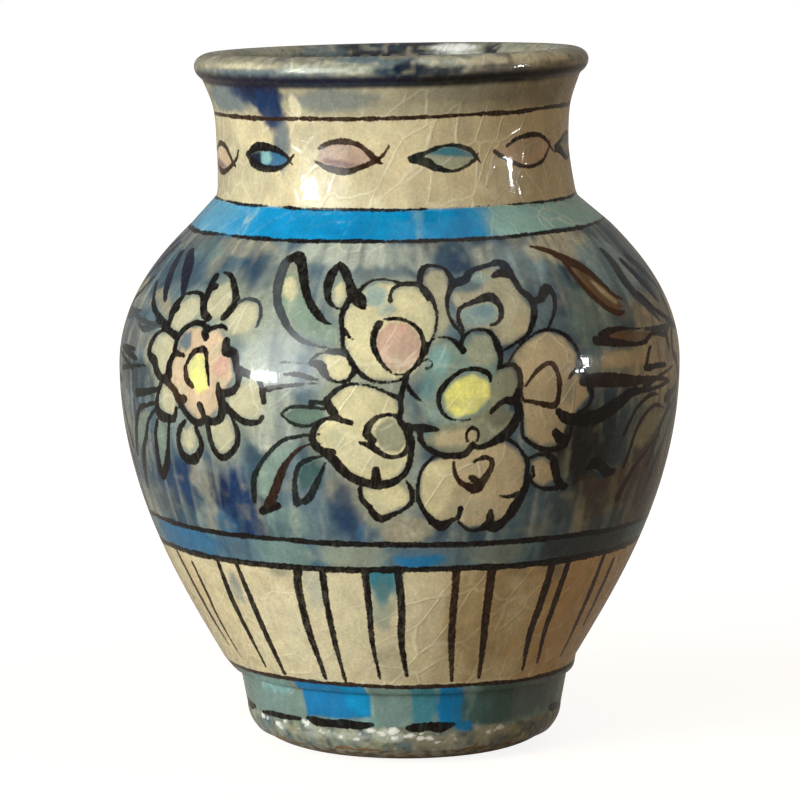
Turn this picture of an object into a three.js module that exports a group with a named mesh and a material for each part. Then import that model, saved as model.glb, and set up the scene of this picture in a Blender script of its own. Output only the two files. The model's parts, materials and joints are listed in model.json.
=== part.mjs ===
// A crackle glaze vase, taken apart the way a potter put it together: five turned clay sections, the slip
// that lutes each one to the next, and the two coats of glaze that were poured inside and laid outside.
// Millimetres, +Z up. The origin is on the surface that the vase stands on, under the middle of its belly.
import * as THREE from "three";

// Heights of the sections, from the standing face up
const FOOT_HEIGHT = 21.6;
const LOWER_BODY_HEIGHT = 89.8;
const UPPER_BODY_HEIGHT = 48.3;
const NECK_HEIGHT = 34.3;
const LIP_UNDERSIDE = 4.4; // the lip's seat up to its widest ring
const LIP_RISE = 3.6; // that ring up to the crest

// Radii of the outside, measured on the glaze, and how far each part stands out from its neighbour
const FOOT_RADIUS = 48; // at the top of the foot
const FOOT_TAPER = 2; // narrower than that above the worn edge
const FOOT_EDGE_WIDTH = 15.5;
const HEEL_OVERHANG = 3.8;
const BELLY_RADIUS = 81.5;
const NECK_RADIUS = 51; // at its waist
const NECK_BASE_FLARE = 1.5;
const NECK_TOP_FLARE = 3.4;
const LIP_OVERHANG = 2.6; // beyond the top of the neck
const LIP_ROUND = 5; // the crest back from the widest ring

// Shape of the outside between those radii
const FOOT_EDGE_HEIGHT = 11; // the worn edge under the foot
const HEEL_HEIGHT = 4.1; // the rounded heel that overhangs the foot
const HEEL_FULLNESS = 0.5; // share of the overhang at which the heel turns up
const HEEL_FLARE = THREE.MathUtils.degToRad(30); // lean of the wall just above the heel
const SHOULDER_SLOPE = THREE.MathUtils.degToRad(45); // lean of the wall just below the neck
const NECK_FILLET_HEIGHT = 3; // the hollow where the neck springs from the shoulder
const NECK_OPENING = 0.6; // growth of the radius from the waist to where the neck opens out
// Shares of a section's height: how long its curve keeps the direction of an end, and where the neck turns
const HEEL_PULL = 0.225;
const BELLY_PULL_BELOW = 0.433;
const BELLY_PULL_ABOVE = 0.5;
const SHOULDER_PULL = 0.186;
const NECK_WAIST_AT = 0.41;
const NECK_OPENING_AT = 0.75;
const LIP_TURN_IN = THREE.MathUtils.degToRad(-55); // about the lip's middle, where its round leaves the neck

// Walls, coats and joints
const BODY_WALL = 6;
const NECK_WALL = 5.4;
const FLOOR_THICKNESS = 9;
const FLOOR_ROUND = 10;
const STANDING_WIDTH = 4; // of the ring that touches the table
const FOOT_BORE_EDGE = 1.2; // chamfer inside that ring
const GLAZE = 0.6;
const COAT_GAP = 0.1; // clearance between a coat and the clay that carries it
const COAT = GLAZE + COAT_GAP;
const GLAZE_LINE_Z = 4.2; // the glaze was wiped off below this
const SLIP = 0.6;
const LAP = 3; // height of the step in a half-lapped joint

// The sections were luted by eye, so their centres drift along X, the lip tilts and its crest is uneven
const FOOT_OFFSET = 1.5;
const FOOT_TOP_OFFSET = 1.3;
const SHOULDER_OFFSET = 0.5;
const NECK_BASE_OFFSET = -0.7;
const NECK_OFFSET = -2;
const LIP_OFFSET = -2.4;
const LIP_TILT = THREE.MathUtils.degToRad(1.1); // up towards +X
const CREST_LIFT = 1; // the crest is higher by this at the front (-Y) and lower by it at the back
const NECK_LEAN_BLEND = 8; // height below the neck over which its lean fades out

const SEGMENTS = 36;
const FOOT_STEPS = 4;
const HEEL_STEPS = 2;
const BODY_STEPS = 6;
const NECK_STEPS = 6;
const LIP_STEPS = 3;
const FLOOR_STEPS = 3;

// Levels where one section meets the next
const FOOT_TOP_Z = FOOT_HEIGHT;
const HEEL_TOP_Z = FOOT_TOP_Z + HEEL_HEIGHT;
const BELLY_Z = FOOT_TOP_Z + LOWER_BODY_HEIGHT;
const NECK_BASE_Z = BELLY_Z + UPPER_BODY_HEIGHT;
const NECK_WAIST_Z = NECK_BASE_Z + NECK_HEIGHT * NECK_WAIST_AT;
const LIP_SEAT_Z = NECK_BASE_Z + NECK_HEIGHT;
const LIP_WIDEST_Z = LIP_SEAT_Z + LIP_UNDERSIDE;
const CREST_Z = LIP_WIDEST_Z + LIP_RISE;
const FLOOR_Z = FOOT_TOP_Z + FLOOR_THICKNESS;

// Radii that follow from those above
const FOOT_LOW_RADIUS = FOOT_RADIUS - FOOT_TAPER;
const STANDING_RADIUS = FOOT_LOW_RADIUS - FOOT_EDGE_WIDTH;
const STANDING_INNER_RADIUS = STANDING_RADIUS - STANDING_WIDTH;
const FOOT_BORE_RADIUS = STANDING_INNER_RADIUS - FOOT_BORE_EDGE;
const HEEL_RADIUS = FOOT_RADIUS + HEEL_OVERHANG;
const NECK_BASE_RADIUS = NECK_RADIUS + NECK_BASE_FLARE;
const NECK_TOP_RADIUS = NECK_RADIUS + NECK_TOP_FLARE;
const LIP_CREST_RADIUS = NECK_TOP_RADIUS + LIP_OVERHANG - LIP_ROUND;

const at = (radius, z) => new THREE.Vector2(radius, z);

// Value at a height on a line of (value, height) points that climbs, held at its ends.
function valueAt(line, z) {
  const next = line.findIndex((p) => p.y >= z);
  if (next === 0) return line[0].x;
  if (next < 0) return line.at(-1).x;
  const [a, b] = [line[next - 1], line[next]];
  return THREE.MathUtils.mapLinear(z, a.y, b.y, a.x, b.x);
}

// The stretch of a climbing line between two heights, cut square at both.
function cut(line, low, high) {
  const between = line.filter((p) => p.y > low && p.y < high);
  return [at(valueAt(line, low), low), ...between, at(valueAt(line, high), high)];
}

// A climbing line moved square to itself, towards the axis.
function inset(line, depth) {
  return line.map((p, i) => {
    const before = line[Math.max(i - 1, 0)];
    const after = line[Math.min(i + 1, line.length - 1)];
    const along = after.clone().sub(before).normalize();
    return at(p.x - along.y * depth, p.y + along.x * depth);
  });
}

// Sideways place of the sections' centres against height, and the lean of their rings to the side and front.
const drift = [
  at(FOOT_OFFSET, 0),
  at(FOOT_TOP_OFFSET, FOOT_TOP_Z),
  at(0, HEEL_TOP_Z),
  at(0, BELLY_Z),
  at(SHOULDER_OFFSET, NECK_BASE_Z - NECK_LEAN_BLEND),
  at(NECK_BASE_OFFSET, NECK_BASE_Z),
  at(NECK_OFFSET, NECK_WAIST_Z),
  at(LIP_OFFSET, LIP_SEAT_Z),
];
const rise = [at(0, NECK_BASE_Z + LAP + SLIP), at(Math.tan(LIP_TILT), LIP_SEAT_Z)];
const lift = [at(0, LIP_SEAT_Z), at(CREST_LIFT / LIP_CREST_RADIUS, CREST_Z)];

// A named piece turned from a profile that runs up its outside and down its inside.
function turned(name, profile, material) {
  const closed = profile[0].x > 0 ? [...profile, profile[0].clone()] : profile;
  const geometry = new THREE.LatheGeometry(closed, SEGMENTS).rotateX(Math.PI / 2);
  const place = geometry.attributes.position;
  for (let i = 0; i < place.count; i++) {
    const x = place.getX(i);
    const y = place.getY(i);
    const z = place.getZ(i);
    place.setX(i, x + valueAt(drift, z));
    place.setZ(i, z + x * valueAt(rise, z) - y * valueAt(lift, z));
  }
  const mesh = new THREE.Mesh(geometry, material);
  mesh.name = name;
  return mesh;
}

// Outside of the glaze

// Worn edge under the foot: a quarter of an ellipse, whose lowest point would be a coat under the clay.
function footEdge() {
  const height = FOOT_EDGE_HEIGHT + COAT;
  const edge = new THREE.EllipseCurve(
    STANDING_RADIUS,
    FOOT_EDGE_HEIGHT,
    FOOT_EDGE_WIDTH,
    height,
    -Math.PI / 2,
    0,
  );
  return edge.getPoints(FOOT_STEPS);
}

function heel() {
  const curve = new THREE.QuadraticBezierCurve(
    at(FOOT_RADIUS, FOOT_TOP_Z),
    at(FOOT_RADIUS + HEEL_OVERHANG * HEEL_FULLNESS, FOOT_TOP_Z),
    at(HEEL_RADIUS, HEEL_TOP_Z),
  );
  return curve.getPoints(HEEL_STEPS);
}

function lowerBodySide() {
  const height = BELLY_Z - HEEL_TOP_Z;
  const pull = height * HEEL_PULL;
  const curve = new THREE.CubicBezierCurve(
    at(HEEL_RADIUS, HEEL_TOP_Z),
    at(HEEL_RADIUS + pull * Math.tan(HEEL_FLARE), HEEL_TOP_Z + pull),
    at(BELLY_RADIUS, BELLY_Z - height * BELLY_PULL_BELOW),
    at(BELLY_RADIUS, BELLY_Z),
  );
  return curve.getPoints(BODY_STEPS);
}

function upperBodySide() {
  const pull = UPPER_BODY_HEIGHT * SHOULDER_PULL;
  const curve = new THREE.CubicBezierCurve(
    at(BELLY_RADIUS, BELLY_Z),
    at(BELLY_RADIUS, BELLY_Z + UPPER_BODY_HEIGHT * BELLY_PULL_ABOVE),
    at(NECK_BASE_RADIUS + pull * Math.tan(SHOULDER_SLOPE), NECK_BASE_Z - pull),
    at(NECK_BASE_RADIUS, NECK_BASE_Z),
  );
  return curve.getPoints(BODY_STEPS);
}

function neckSide() {
  const curve = new THREE.SplineCurve([
    at(NECK_BASE_RADIUS, NECK_BASE_Z),
    at((NECK_RADIUS + NECK_BASE_RADIUS) / 2, NECK_BASE_Z + NECK_FILLET_HEIGHT),
    at(NECK_RADIUS, NECK_WAIST_Z),
    at(NECK_RADIUS + NECK_OPENING, NECK_BASE_Z + NECK_HEIGHT * NECK_OPENING_AT),
    at(NECK_TOP_RADIUS, LIP_SEAT_Z),
  ]);
  return curve.getPoints(NECK_STEPS);
}

// The lip's outside, two quarters of ellipses that share the widest ring, from the neck to the crest.
function lipSide() {
  const quarter = (height, from, to) => {
    const arc = new THREE.EllipseCurve(LIP_CREST_RADIUS, LIP_WIDEST_Z, LIP_ROUND, height, from, to);
    return arc.getPoints(LIP_STEPS);
  };
  return [...quarter(LIP_UNDERSIDE, LIP_TURN_IN, 0), ...quarter(LIP_RISE, 0, Math.PI / 2).slice(1)];
}

const bodySkin = [...footEdge(), ...heel(), ...lowerBodySide().slice(1), ...upperBodySide().slice(1)];
const neckSkin = neckSide();
const skin = [...bodySkin, ...neckSkin.slice(1), ...lipSide()];

// Faces of the clay

const clay = inset(skin, COAT);

// The inside, from the middle of the floor up the wall and the throat to the lip's seat.
function insideOfClay() {
  const body = inset(bodySkin, COAT + BODY_WALL).filter((p) => p.y > FLOOR_Z);
  const neck = inset(neckSkin, COAT + NECK_WALL);
  const wall = body.filter((p) => p.x > neck[0].x);
  const roundTop = FLOOR_Z + FLOOR_ROUND;
  const corner = valueAt(wall, FLOOR_Z);
  const floorEdge = new THREE.QuadraticBezierCurve(
    at(corner - FLOOR_ROUND, FLOOR_Z),
    at(corner, FLOOR_Z),
    at(valueAt(wall, roundTop), roundTop),
  );
  return [
    at(0, FLOOR_Z),
    ...floorEdge.getPoints(FLOOR_STEPS),
    ...wall.filter((p) => p.y > roundTop),
    ...neck.filter((p) => p.y > wall.at(-1).y && p.y < LIP_SEAT_Z),
    at(neck.at(-1).x, LIP_SEAT_Z),
  ];
}

const inside = insideOfClay();
const throat = inside.at(-1).x;

// The lip's inner half in clay: a quarter of an ellipse from the throat's own radius to the crest.
function lipInside() {
  const crest = LIP_CREST_RADIUS - COAT_GAP;
  const curve = new THREE.EllipseCurve(
    crest,
    LIP_WIDEST_Z,
    crest - throat,
    LIP_RISE - COAT,
    Math.PI,
    Math.PI / 2,
    true,
  );
  return curve.getPoints(LIP_STEPS);
}

// Joints between sections

// Half-lap at a height: the lower edge steps up on its inner side, and the upper edge fits over the step.
function halfLap(z) {
  const step = (valueAt(clay, z) + valueAt(inside, z)) / 2;
  const top = z + LAP;
  const under = [at(step, z), at(step, top)];
  const over = [at(step + SLIP, top + SLIP), at(step + SLIP, z + SLIP)];
  const slip = [
    ...cut(clay, z, z + SLIP),
    ...over.toReversed(),
    ...cut(inside, top, top + SLIP).toReversed(),
    ...under.toReversed(),
  ];
  return { under, over, slip, top };
}

// Flat joint: a plain ring of slip that ends at a height.
function flatSlip(z, innerRadius) {
  return [...cut(clay, z - SLIP, z), at(innerRadius, z), at(innerRadius, z - SLIP)];
}

const bellyLap = halfLap(BELLY_Z);
const neckLap = halfLap(NECK_BASE_Z);

// Materials

const fired = (color, roughness) => new THREE.MeshStandardMaterial({ color, roughness, metalness: 0 });
const bareClay = fired(0xb08a66, 0.85);
const luting = fired(0xcdb893, 0.8);
const painted = fired(0x8f9a92, 0.18);
const liner = fired(0xb9b49c, 0.25);

// Clay sections

function footRing() {
  const top = FOOT_TOP_Z - SLIP;
  const profile = [
    ...cut(clay, 0, top),
    at(FOOT_BORE_RADIUS, top),
    at(FOOT_BORE_RADIUS, FOOT_BORE_EDGE),
    at(STANDING_INNER_RADIUS, 0),
  ];
  return turned("foot_ring", profile, bareClay);
}

function lowerBody() {
  const bowl = inside.filter((p) => p.y < bellyLap.top);
  const profile = [
    at(0, FOOT_TOP_Z),
    ...cut(clay, FOOT_TOP_Z, BELLY_Z),
    ...bellyLap.under,
    at(valueAt(inside, bellyLap.top), bellyLap.top),
    ...bowl.toReversed(),
  ];
  return turned("lower_body", profile, bareClay);
}

function upperBody() {
  const profile = [
    ...cut(clay, BELLY_Z + SLIP, NECK_BASE_Z),
    ...neckLap.under,
    ...cut(inside, bellyLap.top + SLIP, neckLap.top).toReversed(),
    ...bellyLap.over,
  ];
  return turned("upper_body", profile, bareClay);
}

function neckCollar() {
  const top = LIP_SEAT_Z - SLIP;
  const profile = [
    ...cut(clay, NECK_BASE_Z + SLIP, top),
    ...cut(inside, neckLap.top + SLIP, top).toReversed(),
    ...neckLap.over,
  ];
  return turned("neck_collar", profile, bareClay);
}

function rimRoll() {
  const profile = [
    at(valueAt(clay, LIP_SEAT_Z), LIP_SEAT_Z),
    ...clay.filter((p) => p.y > LIP_SEAT_Z),
    ...lipInside().toReversed(),
    at(throat, LIP_SEAT_Z),
  ];
  return turned("rim_roll", profile, bareClay);
}

// Glaze

// A coat on a line that climbs: the side away from the axis first, then the side towards it.
const coat = (outer, inner) => [...outer, ...inner.toReversed()];

function outerGlaze() {
  const face = [at(valueAt(skin, GLAZE_LINE_Z), GLAZE_LINE_Z), ...skin.filter((p) => p.y > GLAZE_LINE_Z)];
  return turned("outer_glaze", coat(face, inset(face, GLAZE)), painted);
}

function innerGlaze() {
  const wall = [...inside, ...lipInside()];
  return turned("inner_glaze", coat(inset(wall, COAT_GAP), inset(wall, COAT)), liner);
}

const vase = new THREE.Group();
vase.add(
  footRing(),
  turned("foot_joint_slip", flatSlip(FOOT_TOP_Z, FOOT_BORE_RADIUS), luting),
  lowerBody(),
  turned("belly_joint_slip", bellyLap.slip, luting),
  upperBody(),
  turned("neck_joint_slip", neckLap.slip, luting),
  neckCollar(),
  turned("lip_joint_slip", flatSlip(LIP_SEAT_Z, throat), luting),
  rimRoll(),
  outerGlaze(),
  innerGlaze(),
);

export default vase;
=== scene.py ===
"""Looks of the crackle glaze vase: thrown earthenware under brushed pigments and a crazed glaze.

Every surface is worked out in millimetres from a height and an angle. Angle 0 faces the camera, and
angles grow to the camera's right. Brush strokes are lists of points, each an angle in degrees, a
height and a brush width.
"""
import json

import bpy
import numpy as np
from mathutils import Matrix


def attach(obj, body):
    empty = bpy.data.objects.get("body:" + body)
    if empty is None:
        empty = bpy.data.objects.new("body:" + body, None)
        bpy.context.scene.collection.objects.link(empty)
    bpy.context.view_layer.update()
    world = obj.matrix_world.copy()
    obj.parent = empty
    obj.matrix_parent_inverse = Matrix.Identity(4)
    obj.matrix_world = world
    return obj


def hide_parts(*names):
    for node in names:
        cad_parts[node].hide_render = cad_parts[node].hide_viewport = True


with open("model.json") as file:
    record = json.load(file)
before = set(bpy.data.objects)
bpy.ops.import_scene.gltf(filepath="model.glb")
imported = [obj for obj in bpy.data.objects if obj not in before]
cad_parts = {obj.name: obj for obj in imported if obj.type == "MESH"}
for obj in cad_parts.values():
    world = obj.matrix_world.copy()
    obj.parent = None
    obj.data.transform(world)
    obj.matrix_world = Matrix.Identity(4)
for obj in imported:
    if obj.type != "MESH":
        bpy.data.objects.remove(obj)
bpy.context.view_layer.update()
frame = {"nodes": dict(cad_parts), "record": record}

MM = 0.001

# Levels and radii of the outline, the same as the solids have
FOOT_TOP, HEEL_TOP, BELLY, NECK = 21.6, 25.7, 111.4, 159.7
LIP_SEAT, LIP_WIDEST, CREST = 194.0, 198.4, 202.0
STANDING, FOOT_LOW, FOOT_RADIUS, HEEL, BELLY_RADIUS = 30.5, 46.0, 48.0, 51.8, 81.5
NECK_BASE, NECK_WAIST, NECK_OPEN, NECK_TOP, LIP_CREST = 52.5, 51.0, 51.6, 54.4, 52.0
LIP_ROUND, EDGE_LEVEL, EDGE_DEPTH = 5.0, 11.0, 11.7
COAT, LINER_COAT, CLAY_GAP, INNER_GAP = 0.55, 0.35, 0.7, 0.75
BODY_WALL, NECK_WALL, FLOOR = 6.0, 5.4, 31.4
FOOT_BORE, STANDING_INNER, BORE_EDGE = 25.3, 26.5, 1.2

# How the outline bends: shares of a section's rise, then the heel's flare, the height in mm of the
# neck's fillet and the angle in degrees at which the lip's round starts
LOW_PULL, LOW_FULLNESS, HIGH_PULL, HIGH_FULLNESS = 0.225, 0.433, 0.186, 0.5
WAIST_SHARE, OPEN_SHARE = 0.41, 0.75
HEEL_FLARE = np.tan(np.radians(30))
NECK_FILLET = 3
LIP_START = -55

# Where the glaze ends on the foot, where the skirt's piece meets the belly's, and the throat, above
# which the inside is seen from the front and its rows are closer together
GLAZE_END, FIELD_FOOT, THROAT = 4.2, 69.0, 150

# Sideways place of the sections' centres, the lean of the lip to the side and the lift of its front
CENTRE_LEVELS = [0, FOOT_TOP, HEEL_TOP, BELLY, NECK - 8, NECK, NECK + 14.06, LIP_SEAT]
CENTRE_SHIFTS = [1.5, 1.3, 0, 0, 0.5, -0.7, -2, -2.4]
LIP_LEAN = np.tan(np.radians(1.1))
LEAN_START = NECK + 3.6
CREST_LIFT = 1.0

# Lines round the vase, which also part the painted zones: level, and rise to the right
FOOT_LINE, BAND_LINE, FIELD_LINE = (24.5, -0.7), (61.2, 0.35), (68.8, -0.5)
SHOULDER_LINE, NECK_LINE, FISH_LINE = (152.2, 1.1), (160.2, 0.6), (185.6, 0.7)
# Where the wiped part of the foot ends and the lip's glaze begins
WIPED_EDGE, LIP_EDGE = 11.6, 195.8
# The dark groove under the lip, navy paint and painted shade: level, rise to the right and width
GROOVE_SHADE_LEVEL, GROOVE_SHADE_TILT, GROOVE_SHADE_WIDTH = 195.7, 0.3, 3.2

# A wash is full inside its core and gone at its edge, in half sizes, and noise makes it ragged
WASH_CORE, WASH_EDGE, WASH_RAGGED = 0.62, 1.2, 0.9
# Half width that a stroke of one mm listed width leaves, and what a thin stroke loses of it in mm
BRUSH, LIFTED, FINEST = 0.62, 0.28, 0.2
# How far in mm round a stroke or a fill its distance is worked out, and the distance of no ink
STROKE_MARGIN, FILL_MARGIN, NO_INK = 5, 6, 9.0
# Radius by which such a margin becomes an angle, and the least length of a side
MARGIN_RADIUS, TINY = 45, 1e-9
# Top of the random fields, and of their lattices, which reach past it
FIELD_TOP, LATTICE_TOP = 210, 230
# Layout for baking, as shares of its square: gap at the sides, strip for the back with a gap above
# it, and gap between sectors as a share of one
SIDE_GAP, BACK_STRIP, FACE_START, SECTOR_GAP = 0.004, 0.02, 0.03, 0.01

# Turn at which the bouquet and the spray come again behind, and the lift of that bouquet
BACK_TURN, BACK_LIFT = 168, -1
# Middle of the front flower, and turns and lifts of its copies at the right and the left
FLOWER_MIDDLE = -44
RIGHT_FLOWER, RIGHT_LIFT = 92 - FLOWER_MIDDLE, -2
LEFT_FLOWER, LEFT_LIFT = -103 - FLOWER_MIDDLE, 1.5

# Inside: height of its corner's round, where its width is taken, and the flat's end before it
FLOOR_ROUND, CORNER_LEVEL, FLOOR_EDGE = 10, 2, 12
# Columns of the plain pieces, reach in metres and corners of the floor
PLAIN_COLUMNS, FLOOR_REACH, FLOOR_CORNERS = 360, 4, 96
# Share of the white room's strength at which the glaze mirrors it
MIRRORED_ROOM = 0.16
# Camera: place in metres, tilt in degrees, sensor and lens in mm
CAMERA_PLACE, CAMERA_TILT, SENSOR, LENS = (0.00014, -1.3885, 0.2797), 82.617, 36, 216


def pigment(red, green, blue):
    """Scene colour of a pigment given as display values from 0 to 255."""
    c = np.array([red, green, blue]) / 255
    return np.where(c <= 0.04045, c / 12.92, ((c + 0.055) / 1.055) ** 2.4)


CREAM = pigment(212, 199, 157)
WHITE = pigment(252, 252, 246)
PALE_CREAM = pigment(224, 214, 178)
WARM_CREAM = pigment(208, 184, 142)
PETAL = pigment(220, 210, 165)
GREY_PETAL = pigment(194, 188, 154)
SHADED_PETAL = pigment(180, 173, 144)
COOL_PETAL = pigment(146, 170, 164)
BLUSH = pigment(212, 184, 150)
GREY_CREAM = pigment(150, 146, 124)
STONE = pigment(164, 158, 134)
TURQUOISE = pigment(8, 146, 202)
DEEP_TURQUOISE = pigment(2, 122, 180)
PALE_TURQUOISE = pigment(130, 180, 178)
WORN_AND_SHEEN_TURQUOISE = pigment(164, 204, 190)
BLUE_GREY = pigment(98, 118, 126)
PALE_GREY = pigment(178, 184, 168)
MIST = pigment(150, 178, 182)
GREY_TEAL = pigment(116, 142, 136)
SLATE = pigment(50, 76, 92)
WARM_SLATE = pigment(108, 108, 104)
DARK_SLATE = pigment(52, 62, 70)
DUSK = pigment(38, 40, 36)
UMBER = pigment(92, 78, 56)
COBALT = pigment(20, 50, 90)
BLUE = pigment(46, 106, 144)
NAVY = pigment(10, 16, 44)
TEAL = pigment(130, 152, 140)
BRIGHT_TEAL = pigment(62, 132, 148)
LEAF_GREEN = pigment(134, 154, 136)
MOSS = pigment(96, 120, 106)
SAGE = pigment(164, 168, 142)
GREY_LEAF = pigment(116, 134, 122)
DEEP_GREEN = pigment(66, 98, 96)
ROSE = pigment(206, 166, 146)
PALE_ROSE = pigment(186, 158, 138)
MAUVE = pigment(146, 116, 112)
YELLOW = pigment(252, 247, 138)
PALE_YELLOW = pigment(238, 234, 136)
OLIVE = pigment(146, 148, 122)
DARK_OLIVE = pigment(98, 100, 84)
TAN = pigment(206, 188, 148)
SHADE_OCHRE = pigment(178, 154, 108)
LEAF_BROWN = pigment(120, 90, 50)
LEAF_INK = pigment(74, 46, 20)
INK = pigment(16, 12, 11)
BROWN_INK = pigment(44, 26, 14)
GREEN_INK = pigment(18, 28, 28)
GREY_INK = pigment(62, 70, 74)
BLUE_INK = pigment(16, 22, 42)
SHADE_SAND = pigment(208, 176, 120)
# Clay, crackle, specks, the liner and the smear on the foot
CLAY_BROWN, CLAY_PALE, RUST = pigment(112, 82, 60), pigment(164, 128, 94), pigment(92, 58, 38)
CRACK_PALE, SPECK_BROWN = pigment(240, 234, 206), pigment(70, 56, 42)
LINER_GREY, LINER_CREAM = pigment(150, 146, 126), pigment(186, 178, 148)
LINER_DEEP_TONE, LINER_CRACK = pigment(116, 104, 84), pigment(84, 70, 52)
SMEAR_DARK, SMEAR_PALE = pigment(96, 92, 78), pigment(168, 164, 144)


# Outline

def bezier(points, count=400):
    """Cubic curve: four points weighted by the terms of ((1 - t) + t) cubed."""
    t = np.linspace(0, 1, count)[:, None]
    p = np.array(points, float)
    return ((1 - t) ** 3 * p[0] + 3 * (1 - t) ** 2 * t * p[1]
            + 3 * (1 - t) * t ** 2 * p[2] + t ** 3 * p[3])


def through(points, count=400):
    """Curve through all the points, in cubic stretches.

    Each stretch's slope at an end is half the chord between that end's neighbours.
    """
    p = np.array(points, float)
    q = np.concatenate([p[:1], p, p[-1:]])
    t = np.linspace(0, len(p) - 1, count)
    i = np.minimum(t.astype(int), len(p) - 2)
    w = (t - i)[:, None]
    a, b, c, d = q[i], q[i + 1], q[i + 2], q[i + 3]
    return 0.5 * (2 * b + (c - a) * w + (2 * a - 5 * b + 4 * c - d) * w ** 2
                  + (3 * b - a - 3 * c + d) * w ** 3)


def arc(centre, level, wide, high, start, end, count=200):
    """Part of an ellipse: centre plus half width by cosine and half height by sine, in degrees."""
    t = np.radians(np.linspace(start, end, count))
    return np.stack([centre + wide * np.cos(t), level + high * np.sin(t)], -1)


def lengths(line):
    """Length of a line from its start to each of its points."""
    return np.concatenate([[0], np.cumsum(np.hypot(*np.diff(line, axis=0).T))])


def spaced(line, step):
    """The same line with points an even step apart along its length, ends kept."""
    gaps = np.hypot(*np.diff(line, axis=0).T)
    line = line[np.concatenate([[True], gaps > 1e-6])]
    along = lengths(line)
    even = np.linspace(0, along[-1], max(int(round(along[-1] / step)), 2) + 1)
    return np.stack([np.interp(even, along, line[:, k]) for k in (0, 1)], -1)


def inward(line, depth):
    """A climbing line moved square to itself towards the axis, by the slope at each point."""
    slope = np.gradient(line, axis=0)
    slope /= np.hypot(slope[:, 0], slope[:, 1])[:, None]
    return np.stack([line[:, 0] - slope[:, 1] * depth, line[:, 1] + slope[:, 0] * depth], -1)


foot_edge = arc(STANDING, EDGE_LEVEL, FOOT_LOW - STANDING, EDGE_DEPTH, -90, 0)
heel_turn = (FOOT_RADIUS + HEEL) / 2
heel_round = bezier([
    (FOOT_RADIUS, FOOT_TOP),
    (heel_turn, FOOT_TOP),
    (heel_turn, FOOT_TOP),
    (HEEL, HEEL_TOP),
])
low_rise = BELLY - HEEL_TOP
low_pull = low_rise * LOW_PULL
low_side = bezier([
    (HEEL, HEEL_TOP),
    (HEEL + low_pull * HEEL_FLARE, HEEL_TOP + low_pull),
    (BELLY_RADIUS, BELLY - low_rise * LOW_FULLNESS),
    (BELLY_RADIUS, BELLY),
])
high_rise = NECK - BELLY
high_pull = high_rise * HIGH_PULL
high_side = bezier([
    (BELLY_RADIUS, BELLY),
    (BELLY_RADIUS, BELLY + high_rise * HIGH_FULLNESS),
    (NECK_BASE + high_pull, NECK - high_pull),
    (NECK_BASE, NECK),
])
neck_rise = LIP_SEAT - NECK
neck_side = through([
    (NECK_BASE, NECK),
    ((NECK_BASE + NECK_WAIST) / 2, NECK + NECK_FILLET),
    (NECK_WAIST, NECK + neck_rise * WAIST_SHARE),
    (NECK_OPEN, NECK + neck_rise * OPEN_SHARE),
    (NECK_TOP, LIP_SEAT),
])
lip_under = arc(LIP_CREST, LIP_WIDEST, LIP_ROUND, LIP_WIDEST - LIP_SEAT, LIP_START, 0)
lip_over = arc(LIP_CREST, LIP_WIDEST, LIP_ROUND, CREST - LIP_WIDEST, 0, 90)
outline = np.concatenate([
    foot_edge, heel_round, low_side[1:], high_side[1:], neck_side[1:], lip_under, lip_over[1:],
])
outline_lengths = lengths(outline)


def radius_at(z):
    """Radius of the outline at a height."""
    return np.interp(z, outline[:, 1], outline[:, 0])


def length_at(z):
    """Length of the outline from the foot up to a height."""
    return np.interp(z, outline[:, 1], outline_lengths)


def centre_at(z):
    """Sideways place of the section's centre at a height: straight stretches between levels."""
    return np.interp(z, CENTRE_LEVELS, CENTRE_SHIFTS)


def lean_at(z):
    """Rise of a ring per mm to the right: none below the neck, full at the lip."""
    return np.interp(z, [LEAN_START, LIP_SEAT], [0, LIP_LEAN])


def lift_at(z):
    """Rise of a ring per mm towards the front: none below the lip, full at its crest."""
    return np.interp(z, [LIP_SEAT, CREST], [0, CREST_LIFT / LIP_CREST])


def placed(angle, radius, height):
    """Points on the vase: circles at the heights, moved with their sections and leant."""
    side, front = radius * np.sin(angle), radius * np.cos(angle)
    level = height + side * lean_at(height) + front * lift_at(height)
    return np.stack([side + centre_at(height), -front, level], -1)


def ring_level(ring, angle):
    """Height of a line round the vase: its level plus its rise times the sine of the angle."""
    level, rise = ring
    return level + rise * np.sin(angle)


# Soft random fields

def clouds(angle, height, round_cells, cell_height, seed):
    """Smooth field from 0 to 1: random numbers on a lattice round the vase, eased between."""
    lattice = np.random.default_rng(seed).random((int(LATTICE_TOP / cell_height) + 4, round_cells))
    u = (angle / (2 * np.pi)) % 1 * round_cells
    v = np.clip(height, 0, FIELD_TOP) / cell_height + 1
    i, j = np.floor(u).astype(int), np.floor(v).astype(int)
    p, q = u - i, v - j
    p, q = p * p * (3 - 2 * p), q * q * (3 - 2 * q)
    left, right = i % round_cells, (i + 1) % round_cells
    low = lattice[j, left] * (1 - p) + lattice[j, right] * p
    high = lattice[j + 1, left] * (1 - p) + lattice[j + 1, right] * p
    return low * (1 - q) + high * q


def brushed(angle, height, seed):
    """Field of a loaded brush: broad clouds with finer ones laid over, about 0.5 in the mean."""
    broad = clouds(angle, height, 22, 14, seed)
    middle = clouds(angle, height, 60, 5, seed + 1)
    fine = clouds(angle, height, 190, 2.2, seed + 2)
    return 0.5 * broad + 0.32 * middle + 0.18 * fine


def eased(x, low, high):
    """Smooth step from 0 at low to 1 at high."""
    t = np.clip((x - low) / (high - low), 0, 1)
    return t * t * (3 - 2 * t)


def wrapped(angle):
    """Angle brought into half a turn either way."""
    return (angle + np.pi) % (2 * np.pi) - np.pi


def mixed(colour, tint, amount):
    """Colour moved towards a tint by an amount per point."""
    return colour + amount[..., None] * (tint - colour)


def plain(angle, tint):
    """One colour over a whole grid."""
    return np.broadcast_to(tint, angle.shape + (3,))


# Painting: washes of colour

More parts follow.
